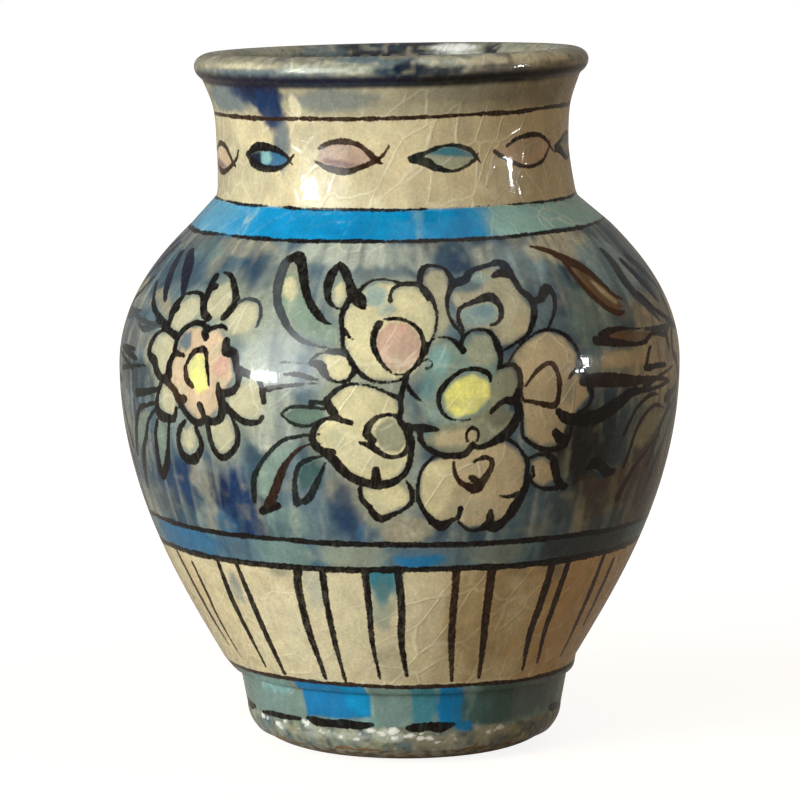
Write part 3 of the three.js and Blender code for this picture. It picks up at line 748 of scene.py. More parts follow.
# Brush strokes: colour, then angles, heights and brush widths
BOUQUET_LINES = [
    (INK, [(-29, 146, 2), (-26.5, 147.6, 3.6), (-24.3, 145.5, 2.9), (-22.5, 141.5, 2.6),
        (-20.5, 137.3, 2.2), (-18.2, 133.8, 2.4), (-15.8, 131.2, 1.6), (-13.8, 130.2, 0.7)]),
    (GREY_INK, [(-28.9, 146, 2.8), (-28.8, 142, 3.1), (-27.6, 136.5, 2.6), (-25, 131.5, 2.3),
        (-22, 127.5, 1.8), (-19, 125.4, 1.4), (-15.5, 124.4, 1), (-12.8, 123.8, 0.5)]),
    (INK, [(-28.9, 147.4, 1.4), (-28.8, 143.6, 2.8), (-28, 138.6, 1.6)]),
    (INK, [(-14.9, 146.2, 1.6), (-16.2, 143.4, 2.8), (-16.4, 139.5, 2.4), (-15.4, 136.3, 1.6),
        (-13.4, 134.7, 1.1), (-11.8, 134.4, 1.3)]),
    (INK, [(-14.8, 146, 2), (-13.2, 144.3, 2.6), (-11.7, 141.5, 2.4), (-10.4, 138.6, 3.4),
        (-9, 137, 3.8), (-7.8, 135.2, 2)]),
    (INK, [(-9.4, 139, 1.6), (-7.2, 141.6, 1.2), (-4.5, 142.4, 1), (-2, 142, 1), (0, 141.3, 1.4)]),
    (INK, [(0, 141.2, 1.4), (-1.6, 140, 1.2), (-2.3, 138.2, 1.3), (-2.2, 136.8, 1.5)]),
    (INK, [(0, 141.2, 1.7), (3.5, 141.2, 1.8), (5, 140.2, 1.8), (6.2, 138.6, 1.7), (7.2, 136, 1.3),
        (7.6, 133.5, 1.1), (7.4, 130.6, 1), (6.7, 127.6, 1), (5.7, 125.2, 1.2), (5, 123, 1.6)]),
    (INK, [(4.2, 140.6, 1.4), (5.4, 138.4, 1.4), (6, 137, 1)]),
    (INK, [(-11.2, 137, 2), (-12.3, 133, 1.8), (-12, 130, 1.7), (-11.6, 127.5, 1.6),
        (-11.4, 125, 1.5), (-10.5, 122.8, 1.6), (-9.4, 120.4, 1.8)]),
    (INK, [(-11.6, 129.4, 1.4), (-10.3, 127.4, 1.2), (-9.1, 126.4, 0.8)]),
    (GREY_INK, [(-14.6, 123.2, 1.2), (-12.4, 123.2, 2), (-10.4, 122.4, 1.6)]),
    (INK, [(-9.6, 120.6, 1.8), (-7.5, 117.3, 1.6), (-5.4, 115.6, 1.2), (-3, 115.2, 1),
        (-0.5, 115.6, 1), (1.2, 117, 1.2)]),
    (INK, [(-3.2, 132, 1.2), (-0.3, 132.2, 1.3), (2.6, 130.7, 1.4), (4.4, 127.7, 1.5),
        (4.6, 124.2, 1.7), (3.8, 120.8, 1.6), (1.4, 117.7, 1.2), (-0.8, 117.4, 1),
        (-2.9, 119.4, 1.2), (-4.6, 122.8, 1.7), (-5.4, 126.2, 1.8), (-5, 129.3, 2.1),
        (-4.3, 130.8, 2.2)]),
    (INK, [(4.7, 121, 1), (5.6, 121.4, 0.9), (6.3, 120.4, 0.9), (6, 119, 0.9), (5, 118.9, 0.9)]),
    (INK, [(-17.9, 120, 1.4), (-15.7, 119.5, 2.6), (-14.8, 117.4, 2.2), (-13.5, 115.7, 1.4),
        (-11.5, 115, 1.2), (-9.8, 116, 1.4), (-9, 118, 1.8)]),
    (INK, [(-18, 120.4, 1), (-16.6, 122.2, 1.2), (-14.8, 123, 0.8)]),
    (GREY_INK, [(-24, 119.8, 0.9), (-21, 120, 0.9), (-18, 119.8, 1)]),
    (INK, [(-23.2, 116.7, 1), (-20, 116.7, 1.6), (-17.5, 115.8, 1.4), (-16, 115.6, 0.6)]),
    (INK, [(-26.7, 112.3, 1.8), (-22.8, 113.4, 1.3), (-19.5, 114, 1.2), (-16, 114.6, 0.7)]),
    (GREEN_INK, [(-23.7, 105.6, 0.9), (-21.6, 107.5, 1.2), (-18.2, 107.9, 1.3), (-15, 107.4, 1.2)]),
    (GREEN_INK, [(-23.5, 105.2, 1), (-21.2, 103, 1.2), (-18.2, 102.5, 1.2), (-15, 104.4, 1.2)]),
    (GREEN_INK, [(-17.6, 109.3, 1.4), (-14, 109.3, 1.4)]),
    (GREEN_INK, [(-15.8, 100.3, 0.8), (-19.5, 99.7, 1.2), (-23.7, 98, 1.4), (-27, 94, 1.6),
        (-29.5, 90, 1.6), (-31, 86, 2), (-31.6, 80, 1.8)]),
    (BROWN_INK, [(-15.3, 98, 0.8), (-18.7, 97, 1), (-21.2, 94.7, 1.4), (-23.3, 91.3, 2),
        (-24.9, 87.3, 2.5), (-26.6, 82.7, 2.7), (-28.3, 78.9, 3)]),
    (INK, [(-30.2, 77, 2.2), (-28.4, 78, 2.6), (-26, 79.2, 2)]),
    (GREEN_INK, [(-15.8, 94, 1), (-18.2, 93, 1.4), (-20.3, 91.3, 1.6), (-21.4, 88, 1.6),
        (-21.8, 84, 1.8), (-21.6, 80.3, 2.4)]),
    (GREEN_INK, [(-15, 92, 1), (-16, 88.7, 1.6), (-17.4, 85.3, 2.2), (-18.7, 82.2, 2.2),
        (-20, 80.7, 2)]),
    (INK, [(-14, 110.3, 1.6), (-12.4, 112.7, 1.6), (-10.3, 114.3, 1.3), (-7.8, 114.7, 1),
        (-4.9, 113.7, 1.1), (-2.4, 112.3, 1.3), (0, 110.7, 1.6)]),
    (INK, [(-14.1, 110.3, 2), (-13.8, 108.5, 2.4), (-13, 106.5, 2.6), (-12, 104.9, 2),
        (-9.4, 103.8, 1.6)]),
    (INK, [(-12, 104.9, 1.4), (-14.5, 104.7, 1.4), (-16.4, 102.7, 1.8), (-17.3, 99.3, 2.2),
        (-16.4, 96.7, 2.4), (-14.9, 95.3, 2.4), (-13.2, 93.3, 2.8), (-11.6, 90.7, 2.8),
        (-9.5, 88.3, 2.6), (-7, 87, 2.4), (-4.5, 86.3, 2.6), (-1.6, 87, 2.2), (0.9, 89.3, 1.8),
        (2, 92.7, 1.8), (2.2, 96, 2.2), (2, 99.3, 2.6), (1.3, 102.3, 2.2), (0, 104.8, 1.7),
        (0.3, 107.8, 1.5), (0.2, 110.7, 1.6)]),
    (INK, [(-14.6, 96, 1.6), (-13.2, 95.4, 2)]),
    (INK, [(0, 105.3, 1.4), (-2, 106.3, 1.4), (-4.4, 105.3, 1.6), (-6, 103, 2.1),
        (-6.3, 100.7, 2.4), (-5.4, 99.2, 2.6)]),
    (INK, [(-7.9, 98.4, 1), (-5.3, 97, 2), (-3.2, 95, 1.6), (-1.2, 94.3, 1.4), (0.9, 95.3, 1.6),
        (2, 98, 2)]),
    (INK, [(-4.7, 90.4, 2.4), (-4.7, 87, 2.8)]),
    (INK, [(-8, 84.9, 1.6), (-7.6, 82, 1.6), (-6.2, 79.7, 1.8), (-4.9, 77.3, 2.2),
        (-3.7, 76.5, 2.4), (-2, 77.3, 1.8), (0.5, 79, 1.4), (2.4, 81.3, 1.6), (2.4, 84.7, 1.8),
        (1.3, 87.7, 1)]),
    (INK, [(18, 115, 1), (17.6, 117, 1.5), (16, 118.2, 1.6), (14, 118.6, 1.4), (11.6, 117.7, 1.4),
        (9.2, 115, 1.7), (7.8, 112, 1.6), (7.7, 108.7, 1.5), (8.8, 106, 1.3), (10.4, 104.7, 1),
        (12.5, 104.4, 0.8), (13.8, 104.7, 0.5)]),
    (INK, [(5.5, 125.3, 1.2), (6.7, 126.7, 1), (8.4, 127.2, 1), (10.3, 126.7, 1.4),
        (11.6, 125.3, 1.8), (12.6, 123.5, 2)]),
    (INK, [(12.3, 125.3, 1.4), (12.9, 127.3, 1.4), (14.6, 128.7, 1.1), (16.7, 129, 1.2),
        (18.3, 128.3, 1.6), (19.4, 126.3, 2), (20, 123.3, 2.1), (20.2, 120.7, 1.8),
        (19.6, 118.7, 1.4)]),
    (INK, [(19.4, 118.3, 1.2), (21.7, 119.3, 1.4), (23.3, 118.7, 1.6), (24.2, 116, 1.8),
        (24, 112.7, 2), (23, 109.5, 2.5), (20.8, 109.5, 1.8), (18.8, 107.5, 1.6),
        (18.1, 106.3, 1.3)]),
    (INK, [(23.3, 109.3, 2.3), (23.8, 106, 2.2), (22.9, 102.7, 2.7), (21.3, 100, 2.9),
        (18.8, 98, 2.2), (16.3, 96.7, 1.6), (14.6, 97, 1.6)]),
    (INK, [(13.4, 98.6, 1.2), (13.2, 101, 1.2), (14.4, 102.2, 1.3), (15.6, 101, 1.2),
        (15.4, 98.6, 1.3)]),
    (INK, [(14.4, 97.5, 1.8), (13, 94.8, 2.1), (10.4, 94.4, 2), (8.3, 94.7, 1.8), (6.3, 96, 1.8),
        (5, 97.3, 1.6), (4.2, 99.3, 1.8), (3.9, 101.4, 1.7)]),
    (INK, [(1.6, 103.4, 1.4), (3, 102.6, 2), (5.2, 102.4, 2.4), (7.6, 102, 1.2)]),
    (INK, [(1.3, 114.7, 1.4), (2.6, 112, 1.6), (4.3, 110, 1)]),
    (INK, [(1.5, 117.3, 1.6), (0.9, 114.7, 1.8), (0.2, 110.7, 1.6)]),
    (INK, [(4.2, 141, 1.8), (4.7, 144, 2), (5.9, 145.7, 1.6), (8, 145.8, 1.2), (10, 145.2, 1.4),
        (11.3, 143.3, 1.6), (11.9, 141.3, 2)]),
    (INK, [(11.9, 141.3, 2.1), (10.6, 138.7, 1.8), (10, 136, 1.4), (10.2, 132.7, 1.2),
        (11.3, 130, 1.3), (12.5, 128.3, 1.6)]),
    (BLUE_INK, [(11.9, 141.3, 2.6), (14.6, 142, 2.6), (16.3, 144, 2), (18.8, 145, 1.6),
        (21.7, 145.7, 1.8), (23.8, 146.1, 2.4), (25.4, 145.5, 2.8), (26.3, 143.3, 2.4)]),
    (INK, [(21.6, 142.6, 1.4), (23.6, 143.4, 2.6), (26, 143, 2.8)]),
    (INK, [(26.3, 142.7, 2.2), (27.5, 138.7, 2), (29.2, 136.7, 2.4), (29.4, 133.3, 2.2),
        (28.3, 130, 1.8), (26.7, 127.3, 1.4), (24.2, 125.3, 1.2), (21.7, 123.7, 1),
        (20.6, 123.3, 1)]),
    (INK, [(12.9, 129, 1.4), (12.1, 132, 1.4), (12.7, 134.7, 1.5), (15, 136, 1.6), (17.9, 137, 2.4),
        (20, 137.3, 2.8), (21.5, 135.3, 2.1), (21.5, 132.7, 1.8), (20.4, 130.7, 1.4),
        (18.8, 130, 1)]),
    (INK, [(29.6, 136, 2), (31.7, 136.3, 2.4), (34, 138.7, 3), (35.2, 138.3, 2.4), (35.4, 136, 1.8),
        (34.2, 132.7, 1.4), (32.7, 130, 1.2), (31.7, 128.3, 1)]),
    (INK, [(21.7, 119.6, 1), (22.9, 122, 1), (25, 124.7, 1), (27.5, 126.7, 1), (30, 127.9, 1.2),
        (32.5, 127.9, 1.4), (34.6, 127, 1.5), (36.3, 125.3, 1.6), (37.7, 122.7, 1.4),
        (38.4, 118.9, 1.8), (37.9, 117.3, 1.9), (35.8, 115.3, 1.5), (35.2, 114.3, 0.9)]),
    (INK, [(38.3, 117.5, 1.6), (39.4, 114.7, 2.2), (40.8, 110.7, 2), (41.2, 108.7, 1.8),
        (40, 106, 1.4), (37.9, 104.7, 1.3)]),
    (INK, [(32.8, 105.4, 2), (35, 103.2, 3.2), (38.5, 102.7, 3.4), (42, 102.7, 4)]),
    (INK, [(36.2, 101.4, 1.4), (36, 98.4, 1.8), (34.8, 96.2, 2.2)]),
    (INK, [(32.4, 99.6, 2.4), (33.4, 98, 3), (35, 96.6, 2.4)]),
    (INK, [(35, 95.6, 1.8), (32.5, 94.8, 1.8), (30, 95, 1.8), (28, 96, 1.6), (25.8, 98, 1.4),
        (24.8, 100, 1.4), (24.6, 104, 1.4), (24.2, 108, 1.6)]),
    (BROWN_INK, [(25.3, 113.2, 1), (27.5, 116.7, 1.4), (29.6, 118.7, 1.6), (31.3, 119, 1.6),
        (32.5, 116.7, 1.6), (33, 113.3, 1.8), (32.8, 110, 1.8), (32, 107.4, 2.1),
        (29.6, 107.7, 1.8), (27, 108.7, 1.4), (25, 109.3, 1.2), (24.4, 111.5, 1)]),
    (INK, [(7, 94.7, 1.2), (4.7, 91.3, 1.2), (3.8, 87.3, 1.3), (3.8, 82.7, 1.5), (5.1, 78.7, 1.7),
        (7, 75.5, 2.4)]),
    (INK, [(6.9, 75.5, 2.4), (9, 74.2, 2.9), (10.8, 75.7, 1.8), (12.3, 76.7, 1.6),
        (12.7, 79.2, 1.8)]),
    (INK, [(12.5, 75.3, 1.2), (14.6, 73, 1.4), (17, 72.7, 1.4), (19.2, 74, 3), (20.8, 73.4, 3.2),
        (22.9, 75.3, 2.5), (24.2, 78, 3), (25.8, 82, 2.7), (26.7, 85.3, 2.2), (26.5, 88.7, 1.8),
        (26.3, 92, 1.6), (25, 94.7, 1.3), (22.9, 97.7, 1.3), (20.8, 98.7, 1.2), (19.6, 98.7, 1.2)]),
    (INK, [(19.2, 78, 1.6), (19.4, 75, 2.8)]),
    (INK, [(20.9, 82.4, 1), (23, 82, 1.4), (24.8, 82.7, 1.6)]),
    (BROWN_INK, [(15, 92.7, 1.2), (17, 93.7, 1.5), (18.5, 93, 1.6), (18.6, 90.7, 1.8),
        (17.5, 88, 2.3), (15.8, 85, 3), (14.2, 85.3, 2.3), (12, 87.3, 1.6), (11, 90, 1.3),
        (10.8, 92.7, 1.3)]),
    (BROWN_INK, [(14.4, 88.2, 1.6), (16, 86.8, 2.2)]),
    (INK, [(26.7, 92.7, 1.2), (29.2, 93.7, 1.4), (31.7, 92.7, 2), (32.9, 90, 2.7),
        (33.8, 86.7, 2.5), (35, 84.2, 2.8), (36.7, 83.7, 1.6)]),
    (INK, [(27, 88, 1.2), (28.3, 85.3, 1.2), (30.8, 83.7, 1.4), (34.2, 83.3, 2)]),
    (INK, [(27.7, 90.2, 1.2), (28.2, 87.6, 1.4)]),
]
FLOWER_FILLS = [
    (GREY_CREAM, [(-69, 134), (-64, 131), (-58, 127.6), (-56.4, 131), (-60, 134.4), (-65, 136.6)]),
    (GREY_LEAF, [(-66, 100.6), (-62, 102.4), (-60, 101), (-63.6, 95), (-68, 89), (-70, 91),
        (-68, 97)]),
    (GREY_LEAF, [(-58.6, 97), (-56, 99.4), (-54, 98.6), (-55, 92), (-58, 86), (-59.4, 88)]),
    (GREY_PETAL, [(-60.6, 120), (-58.6, 124), (-55, 124.8), (-52, 123), (-51.8, 117), (-54, 112.4),
        (-57, 113.6), (-58.4, 117)]),
    (GREY_PETAL, [(-55.4, 127), (-55.6, 132), (-52, 135.4), (-48.8, 135), (-46.8, 131),
        (-50, 127.6), (-52, 125)]),
    (GREY_PETAL, [(-46.4, 134), (-45, 139), (-42, 140.6), (-39.6, 136.6), (-39, 133), (-41, 129.6),
        (-45, 130.6)]),
    (GREY_PETAL, [(-38.6, 132), (-36, 135), (-32.4, 134.6), (-31, 131), (-32.6, 127), (-36.4, 126),
        (-38.6, 128.6)]),
    (GREY_PETAL, [(-36, 108.6), (-33, 112.6), (-30, 116), (-28.4, 113), (-27.4, 108), (-29, 103.6),
        (-32.4, 103.6), (-35, 105.6)]),
    (GREY_PETAL, [(-41, 100), (-40.4, 96), (-38.6, 93), (-36, 94), (-34.6, 98), (-35.4, 102.4),
        (-37.6, 103.6)]),
    (GREY_PETAL, [(-49, 98), (-49.6, 94), (-47.6, 92), (-45.6, 93.6), (-44.8, 97), (-46, 100)]),
    (GREY_PETAL, [(-56, 105), (-55, 109), (-53, 110.4), (-50.4, 107), (-50.8, 102.6),
        (-54, 102.2)]),
    (BLUSH, [(-51.6, 118), (-50, 121), (-51, 124), (-49, 127), (-45.6, 127.6), (-43, 126),
        (-40.4, 127.4), (-37.6, 125), (-35.4, 120), (-34.4, 115), (-36.4, 111), (-38.2, 106),
        (-41, 102.6), (-43.8, 102), (-47, 104), (-49.6, 108), (-52.4, 112.6)]),
    (BLUE_GREY, [(-51, 122.4), (-50, 125.6), (-47.4, 126.6), (-46.6, 122), (-48, 119.8)]),
    (ROSE, [(-38.4, 121), (-36, 120), (-35.6, 116), (-38, 114), (-40, 116)]),
    (PALE_YELLOW, [(-46.6, 118), (-44.6, 120.6), (-42.6, 120), (-41.8, 116), (-41, 111),
        (-43.6, 109), (-46, 112)]),
]
FLOWER_LINES = [
    (INK, [(-47.3, 117.3, 1), (-46, 120.3, 1.6), (-43.5, 121.6, 1.8), (-42.2, 120.7, 1.6),
        (-41.6, 118, 1.4), (-41, 114.7, 1.2), (-40.7, 112, 0.8)]),
    (BROWN_INK, [(-47.6, 116, 1.5), (-47, 113, 2.1), (-45.3, 111.2, 1.5)]),
    (INK, [(-51.5, 124.3, 2.2), (-50, 126.7, 1.8), (-47.5, 128.3, 1.6), (-45, 128.3, 1.6),
        (-43.2, 127.2, 2.1)]),
    (INK, [(-43.8, 126.2, 2.4), (-43, 125, 2.2)]),
    (INK, [(-43, 126.9, 1.6), (-41, 128, 1.4), (-39, 128.3, 1.3), (-37.8, 127.4, 0.9)]),
    (INK, [(-37.4, 124.4, 2.4), (-37, 122, 3), (-35, 121.3, 2.5), (-34, 118, 2),
        (-33.4, 115.3, 1.9), (-33.6, 112.7, 1.8), (-35, 110.7, 2.1), (-37, 110.3, 1.9)]),
    (INK, [(-51.7, 123, 1.9), (-51.8, 120.7, 1.8), (-51, 119.7, 1.7), (-48.5, 119.3, 1.3)]),
    (INK, [(-51.6, 119.3, 1.9), (-52.8, 116.7, 2.3), (-52.9, 113.3, 3), (-53.8, 112, 3)]),
    (BROWN_INK, [(-53.5, 111.5, 2.5), (-51, 109.3, 2.3), (-49.5, 106.9, 2.7), (-47.8, 107.2, 2.2)]),
    (INK, [(-49, 105.3, 2), (-47.5, 103.3, 2), (-45.5, 101.3, 2.1), (-43.5, 101, 2),
        (-42.3, 102.7, 1.8), (-43.3, 106, 2.1)]),
    (INK, [(-42, 102.7, 1.8), (-40, 101.7, 2), (-38, 103, 2.3), (-37.2, 106, 2.7),
        (-37.8, 109.3, 2.5), (-38.3, 112.7, 1.2)]),
    (INK, [(-55, 125.3, 1.6), (-57.5, 125.3, 1.2), (-60, 123.3, 1.6), (-61.3, 120, 2.3),
        (-60.8, 117.7, 2.3), (-58.5, 116.3, 2.8), (-57, 113.3, 2.5), (-55, 111.7, 2)]),
    (INK, [(-61.5, 127.7, 1.5), (-58, 126.3, 1.9), (-55, 125.3, 2), (-51.5, 124, 2.1)]),
    (INK, [(-55.8, 126.7, 1.5), (-56.3, 130, 1.9), (-55, 131.5, 2)]),
    (INK, [(-55.3, 135.3, 0.8), (-52, 136.2, 1.2), (-49, 136, 1.4), (-47, 133.7, 2.3),
        (-45.5, 131, 2.3), (-43.5, 130, 1.7)]),
    (INK, [(-47.4, 141, 2.2), (-47.2, 138.7, 2.6), (-45.6, 138.4, 2)]),
    (INK, [(-47.2, 138, 2.5), (-46.8, 134, 2.1)]),
    (INK, [(-45.5, 142.3, 0.8), (-43, 141.7, 1.4), (-41, 140, 1.8), (-39, 137.3, 2),
        (-38, 134.7, 2.3), (-39, 132, 2.5), (-39.8, 130.7, 2.1)]),
    (GREY_INK, [(-37.6, 134.7, 1.2), (-35, 136, 1.1), (-32, 135.3, 1.1), (-30.5, 132, 1.1),
        (-30.8, 128.7, 0.9)]),
    (INK, [(-34, 117.3, 2), (-31, 116, 2.1), (-28.6, 114.7, 1.5), (-27.4, 108.7, 1.7)]),
    (INK, [(-36.5, 106.7, 2.1), (-34.5, 104.3, 2), (-32, 102.7, 1.8), (-29, 102.8, 1.6),
        (-27.8, 104.3, 1.2)]),
    (INK, [(-41.5, 100.7, 1.8), (-41, 96.7, 1.8), (-40, 93.3, 2), (-38.5, 91.7, 2),
        (-36.5, 92.7, 1.8), (-34.5, 95.3, 1.8), (-33.8, 98.7, 1.8), (-34.5, 102, 1.4),
        (-35.3, 104.3, 1)]),
    (INK, [(-48, 100.7, 1.4), (-50, 98, 1.8), (-50.8, 94.7, 2), (-50, 91, 2.5), (-48, 89.8, 2.7),
        (-46, 90.4, 2.5), (-44, 93.3, 2), (-43.8, 96, 1.8), (-44.8, 99.3, 1.5)]),
    (INK, [(-55.5, 110.7, 1.5), (-56.8, 107.3, 1.6), (-57.5, 104, 2.3), (-56.5, 101.5, 3.1),
        (-54, 100.9, 2.6), (-51.5, 101.1, 1.7), (-50.5, 104, 1.3)]),
    (INK, [(-58, 99.3, 1.4), (-59.3, 95.3, 1.6), (-59.8, 90, 2), (-60, 85.3, 2.5),
        (-59.8, 82.9, 2.2)]),
    (INK, [(-53.5, 99.7, 1.2), (-54.3, 94.7, 1.6), (-55.3, 90.7, 2), (-57, 86.3, 2.6),
        (-59.3, 83.5, 2.7)]),
    (GREEN_INK, [(-58, 104.7, 1), (-62, 103.3, 1.4), (-65.5, 102, 1.6), (-68, 98.7, 1.8),
        (-70, 94, 2), (-72, 88, 2.3)]),
    (GREEN_INK, [(-58.8, 102.3, 1), (-62, 98.7, 1.4), (-64, 94, 1.8), (-67, 89.3, 2.3),
        (-69, 84, 2.8), (-70.3, 78.5, 1.4)]),
    (GREEN_INK, [(-56.5, 108.7, 1.4), (-61.5, 107.3, 2), (-67, 106, 2.4)]),
    (GREEN_INK, [(-78, 111.3, 1.6), (-70, 113.3, 1.2), (-62, 114.6, 0.8)]),
    (GREEN_INK, [(-78, 116.7, 1), (-71.5, 116.3, 1.6), (-67, 115.7, 1.1)]),
    (INK, [(-56.3, 126.3, 2.1), (-61.5, 128.7, 1.8), (-66.5, 131.3, 1.8), (-69.5, 134.7, 1.6),
        (-71.5, 136.7, 1.3)]),
    (INK, [(-56, 128.5, 2), (-56.3, 131.5, 3), (-55.2, 134.5, 2)]),
    (BLUE_INK, [(-69.5, 145, 2.8), (-66.5, 140, 3.2), (-63.5, 135.5, 2.5), (-61.5, 133, 1.3)]),
    (BLUE_INK, [(-64.5, 146, 2.8), (-60, 142, 4), (-57, 138, 2.8), (-55, 134.5, 1.5)]),
    (GREY_INK, [(-75, 127, 1), (-66.5, 126.3, 1.6), (-58, 126, 1)]),
    (GREY_INK, [(-70.5, 125.3, 1), (-66, 124.3, 1.6), (-61, 125.3, 0.8)]),
]
SPRAY_FILLS = [
    (LEAF_BROWN, [(38, 149), (43, 146.6), (47.5, 143.5), (50, 141), (52, 138), (53.8, 135.3),
        (55.4, 132), (52.5, 130.6), (49.8, 132), (47.3, 134.7), (45.2, 138), (43.8, 141.5),
        (42.4, 145)]),
    (TAN, [(47.8, 140), (48.8, 139.8), (54, 133.4), (53, 132.8), (50, 136)]),
    (SLATE, [(59.4, 146), (61.6, 146.6), (63, 140), (64, 135), (67, 130.6), (70, 127), (66, 128.6),
        (61, 134), (59.4, 139)]),
    (LEAF_BROWN, [(43.4, 124.4), (49, 126), (56, 125.4), (63, 123.6), (67, 123), (60, 122),
        (50, 122.6)]),
    (TAN, [(44, 119.6), (50, 120.4), (58, 120), (58, 115.6), (50, 115.6), (44, 116)]),
    (OLIVE, [(55, 93.5), (57, 98), (60.6, 101), (65, 102), (68, 99.5), (64, 95), (59, 91)]),
    (SLATE, [(43, 89), (46, 89.6), (50, 87), (48.6, 85), (45, 84.6)]),
]
SPRAY_LINES = [
    (LEAF_INK, [(35.2, 149.7, 1), (38, 149, 2.2), (41, 147.7, 2.6), (44.5, 145.5, 3.4),
        (47.5, 143.5, 3.4), (50, 141, 2.6), (52, 138, 2), (53.8, 135.3, 1.6), (56, 134, 1.2)]),
    (LEAF_INK, [(43, 145, 1.8), (43.8, 141.5, 2), (45.2, 138, 2.2), (47.3, 134.7, 2.4),
        (49.8, 132, 2.2), (52.5, 130.6, 2.2), (55, 130.6, 1.2)]),
    (GREY_INK, [(60.5, 146.7, 2.4), (61.3, 143.3, 4), (60.9, 138.7, 4.4), (62.6, 135.3, 3.6),
        (64.7, 132, 2.8), (67.2, 129.3, 2.2), (70.1, 126, 1.4)]),
    (BROWN_INK, [(45.1, 125.3, 2.6), (48.8, 126.3, 2.2), (52.6, 126.3, 1.4), (56.8, 125.7, 1),
        (60, 125.3, 0.8)]),
    (BROWN_INK, [(43.4, 124, 3), (49.7, 122.7, 2.6), (54.7, 121.7, 1.8), (59.7, 121.7, 1.8),
        (63, 123.3, 1.6), (67.2, 123.3, 1.2)]),
    (BROWN_INK, [(58.8, 114.7, 2), (59.7, 116.7, 2), (60.9, 119.3, 1.6), (62.2, 120, 1)]),
    (BROWN_INK, [(58.4, 114.3, 2), (61.3, 114, 1.8), (64.7, 114.7, 1)]),
    (BROWN_INK, [(38.8, 113.3, 3), (42.2, 113.3, 4), (46.3, 112.7, 4.2), (50.5, 112, 3.8),
        (55.5, 111.3, 3), (60.9, 111, 2), (66.3, 110.3, 1.6), (70.1, 109.3, 1.4)]),
    (INK, [(38, 102.3, 3.6), (42.2, 102.7, 4.2), (46.3, 104.3, 4.4), (49.3, 106, 4),
        (52.6, 108, 3.2), (56.3, 108.3, 2), (61.3, 108, 1.6), (67.2, 108.3, 1.4),
        (71.3, 108.7, 1.2)]),
    (BROWN_INK, [(51.8, 96.7, 2), (53.4, 100, 1.8), (55.1, 103, 1.8), (57.6, 105, 1.6),
        (60.9, 106.3, 1.6), (64.7, 106, 1)]),
    (BROWN_INK, [(53.4, 87.3, 2), (54.7, 92, 1.8), (55.9, 96.7, 1.8), (58, 100, 1.8),
        (60.9, 102.3, 1.6), (64.3, 103, 1.4), (68.8, 101.3, 1)]),
    (BROWN_INK, [(53.8, 78, 3.2), (55.1, 81.3, 2.8), (56.8, 84.7, 2.4), (59.3, 87.7, 2),
        (62.2, 90.3, 1.8), (65, 92.7, 1.4), (68, 93.3, 1)]),
    (INK, [(41.3, 88, 1.4), (43.5, 89.5, 3.6), (45.5, 88.5, 3.4), (47.5, 86.5, 3.4),
        (50, 86, 2.2)]),
    (BROWN_INK, [(71.3, 122, 2.8), (72, 118.7, 2.4)]),
    (BROWN_INK, [(70.9, 105.3, 2.8), (72.2, 102, 2.4)]),
]
# Fish on the neck: the upper and the lower stroke of each
PINK_FISH = [
    [(-23.7, 177, 1.2), (-20, 178.6, 1.6), (-15, 179.2, 1.8), (-10.6, 178.2, 1.6), (-7.5, 176, 1.6),
        (-5, 173.9, 1.5), (-3.5, 173, 1)],
    [(-25, 173.2, 1), (-20.6, 171.4, 2), (-15, 170.7, 2), (-9.4, 172.1, 1.6), (-5, 173.9, 1.4),
        (-2.5, 175.7, 1.2), (-1, 178, 1)],
]
BLUE_FISH = [
    [(-53.5, 174.3, 1.4), (-49, 176.5, 2.5), (-44, 176.8, 2.3), (-39, 176, 1.9),
        (-35.5, 174.2, 1.2), (-33.7, 172, 0.8)],
    [(-53.5, 174.3, 2), (-50.5, 171.8, 2.7), (-46, 170.6, 2.2), (-40, 170.7, 1.7),
        (-35.6, 172.5, 1.2), (-32.8, 175, 1)],
]
TEAL_FISH = [
    [(5.6, 174.4, 1.6), (10, 175.7, 1.4), (15, 177.3, 1.2), (20, 177.7, 1.4), (25, 176.4, 1.4),
        (27.5, 174.3, 1.3), (28.8, 172.5, 0.8)],
    [(6.2, 174, 2), (11.2, 173, 2.5), (13, 171.8, 2.1), (18.8, 170.6, 1.2), (23.8, 171.8, 1.2),
        (26.9, 173.6, 1.2), (28.5, 175.4, 0.8)],
]
BROWN_FISH = [
    [(39.4, 176.8, 1.2), (43.8, 178.6, 1.4), (50, 179.3, 1.6), (55.6, 178.8, 1.4), (60, 176.8, 1.2),
        (62.5, 175, 1), (65, 173.4, 0.8)],
    [(34.4, 175.4, 1.6), (38.8, 173.2, 1.4), (45, 171, 1.2), (50, 170.6, 1.2), (56.3, 171.8, 1.2),
        (60, 174.3, 1), (61.9, 177.5, 0.8)],
]
# The dark head, the shade and the pale or blue patches that some of the fish have
BLUE_FISH_HEAD = [(-53, 174.3), (-50, 176), (-47.4, 176.4), (-46.4, 174), (-47.4, 171.2),
    (-50, 172)]
PINK_FISH_SHADE = [(-23.4, 173.4), (-20, 172.2), (-15, 171.6), (-11, 172.6), (-16, 173.8),
    (-21, 174.8)]
BLUE_FISH_SIDE = [(-46.2, 175.6), (-43, 175.6), (-41.6, 173.6), (-43, 171.8),
    (-46.2, 171.8)]
TEAL_FISH_BACK = [(10, 175.4), (15, 177), (20, 177.4), (26, 175.6), (27.4, 174),
    (22, 174.4), (15, 175)]
